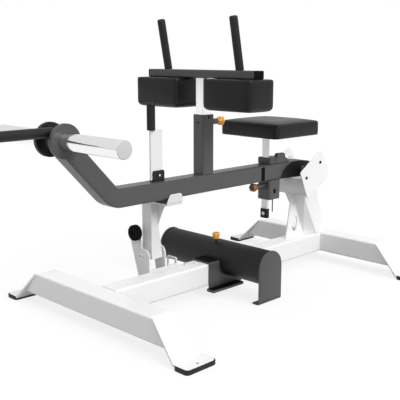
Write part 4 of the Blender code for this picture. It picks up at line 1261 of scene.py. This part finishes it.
white = (1, 1, 1, 1)
floorSpec = {
    "name": "studioFloor",
    "half": 14,
    "bounce": (0.22, 0.22, 0.22),
    "shaded": (0.95, 0.95, 0.95),
    "glow": 0.80,
}
worldSpec = {"name": "studioWorld", "ambient": 0.84}
sunSpec = {"name": "keySun", "direction": (0.0, -0.83, 0.56), "strength": 1.85, "angle": 0.5}
cameraSpec = {
    "name": "photoCamera",
    "lens": 65.146,
    "place": (-1.2261, -1.7068, 0.8151),
    "down": 11.2955,
    "turn": -44.8763,
}


def makeStageMaterial(spec):
    # white where it is looked at or mirrored, with the shadow kept, and a dim bounce
    made = bpy.data.materials.new("paleFloor")
    made.use_nodes = True
    tree, link = made.node_tree.nodes, made.node_tree.links.new
    tree.clear()
    out = tree.new("ShaderNodeOutputMaterial")
    paths = tree.new("ShaderNodeLightPath")
    bounce = tree.new("ShaderNodeBsdfDiffuse")
    bounce.inputs["Color"].default_value = (*spec["bounce"], 1)
    shaded = tree.new("ShaderNodeBsdfDiffuse")
    shaded.inputs["Color"].default_value = (*spec["shaded"], 1)
    glow = tree.new("ShaderNodeEmission")
    glow.inputs["Color"].default_value = white
    glow.inputs["Strength"].default_value = 1.0
    seen = tree.new("ShaderNodeMixShader")
    seen.inputs["Fac"].default_value = spec["glow"]
    link(shaded.outputs["BSDF"], seen.inputs[1])
    link(glow.outputs["Emission"], seen.inputs[2])
    gleam = tree.new("ShaderNodeEmission")
    gleam.inputs["Color"].default_value = white
    gleam.inputs["Strength"].default_value = 1.0
    mirrored = tree.new("ShaderNodeMixShader")
    link(paths.outputs["Is Glossy Ray"], mirrored.inputs["Fac"])
    link(bounce.outputs["BSDF"], mirrored.inputs[1])
    link(gleam.outputs["Emission"], mirrored.inputs[2])
    mix = tree.new("ShaderNodeMixShader")
    link(paths.outputs["Is Camera Ray"], mix.inputs["Fac"])
    link(mirrored.outputs["Shader"], mix.inputs[1])
    link(seen.outputs["Shader"], mix.inputs[2])
    link(mix.outputs["Shader"], out.inputs["Surface"])
    return made


def makeFloor(spec):
    edit = bmesh.new()
    bmesh.ops.create_grid(edit, x_segments=1, y_segments=1, size=spec["half"])
    made = linked(spec["name"], meshOf(spec["name"], edit))
    made.data.materials.append(makeStageMaterial(spec))


def makeWorld(spec):
    # even light, white to the camera, and to mirrors with a dark strip along the horizon
    world = bpy.data.worlds.new(spec["name"])
    bpy.context.scene.world = world
    world.use_nodes = True
    tree, link = world.node_tree.nodes, world.node_tree.links.new
    tree.clear()
    out = tree.new("ShaderNodeOutputWorld")
    paths = tree.new("ShaderNodeLightPath")
    place = tree.new("ShaderNodeTexCoord")
    split = tree.new("ShaderNodeSeparateXYZ")
    link(place.outputs["Generated"], split.inputs["Vector"])
    strip = tree.new("ShaderNodeValToRGB")
    stops = strip.color_ramp.elements
    stops[0].position, stops[0].color = 0.045, (0.62, 0.62, 0.625, 1)
    stops[1].position, stops[1].color = 0.10, (0.80, 0.80, 0.80, 1)
    link(split.outputs["Z"], strip.inputs["Fac"])
    seen = tree.new("ShaderNodeBackground")
    seen.inputs["Color"].default_value = white
    seen.inputs["Strength"].default_value = 1.0
    lit = tree.new("ShaderNodeBackground")
    lit.inputs["Color"].default_value = white
    lit.inputs["Strength"].default_value = spec["ambient"]
    mirror = tree.new("ShaderNodeBackground")
    link(strip.outputs["Color"], mirror.inputs["Color"])
    glossy = tree.new("ShaderNodeMixShader")
    link(paths.outputs["Is Glossy Ray"], glossy.inputs["Fac"])
    link(lit.outputs["Background"], glossy.inputs[1])
    link(mirror.outputs["Background"], glossy.inputs[2])
    mix = tree.new("ShaderNodeMixShader")
    link(paths.outputs["Is Camera Ray"], mix.inputs["Fac"])
    link(glossy.outputs["Shader"], mix.inputs[1])
    link(seen.outputs["Background"], mix.inputs[2])
    link(mix.outputs["Shader"], out.inputs["Surface"])


def addSun(spec):
    lamp = bpy.data.lights.new(spec["name"], "SUN")
    lamp.energy = spec["strength"]
    lamp.angle = spec["angle"]
    made = linked(spec["name"], lamp)
    turn = Vector((0, 0, -1)).rotation_difference(-Vector(spec["direction"]).normalized())
    made.rotation_euler = turn.to_euler()


def addCamera(spec):
    lens = bpy.data.cameras.new(spec["name"])
    lens.sensor_width = 36.0
    lens.sensor_fit = "AUTO"
    lens.lens = spec["lens"]
    made = linked(spec["name"], lens)
    made.location = at(*spec["place"])
    made.rotation_euler = Euler((math.radians(90 - spec["down"]), 0, math.radians(spec["turn"])))
    bpy.context.scene.camera = made


makeFloor(floorSpec)
makeWorld(worldSpec)
addSun(sunSpec)
addCamera(cameraSpec)
bpy.context.scene.view_settings.view_transform = "Standard"
print("stage done")
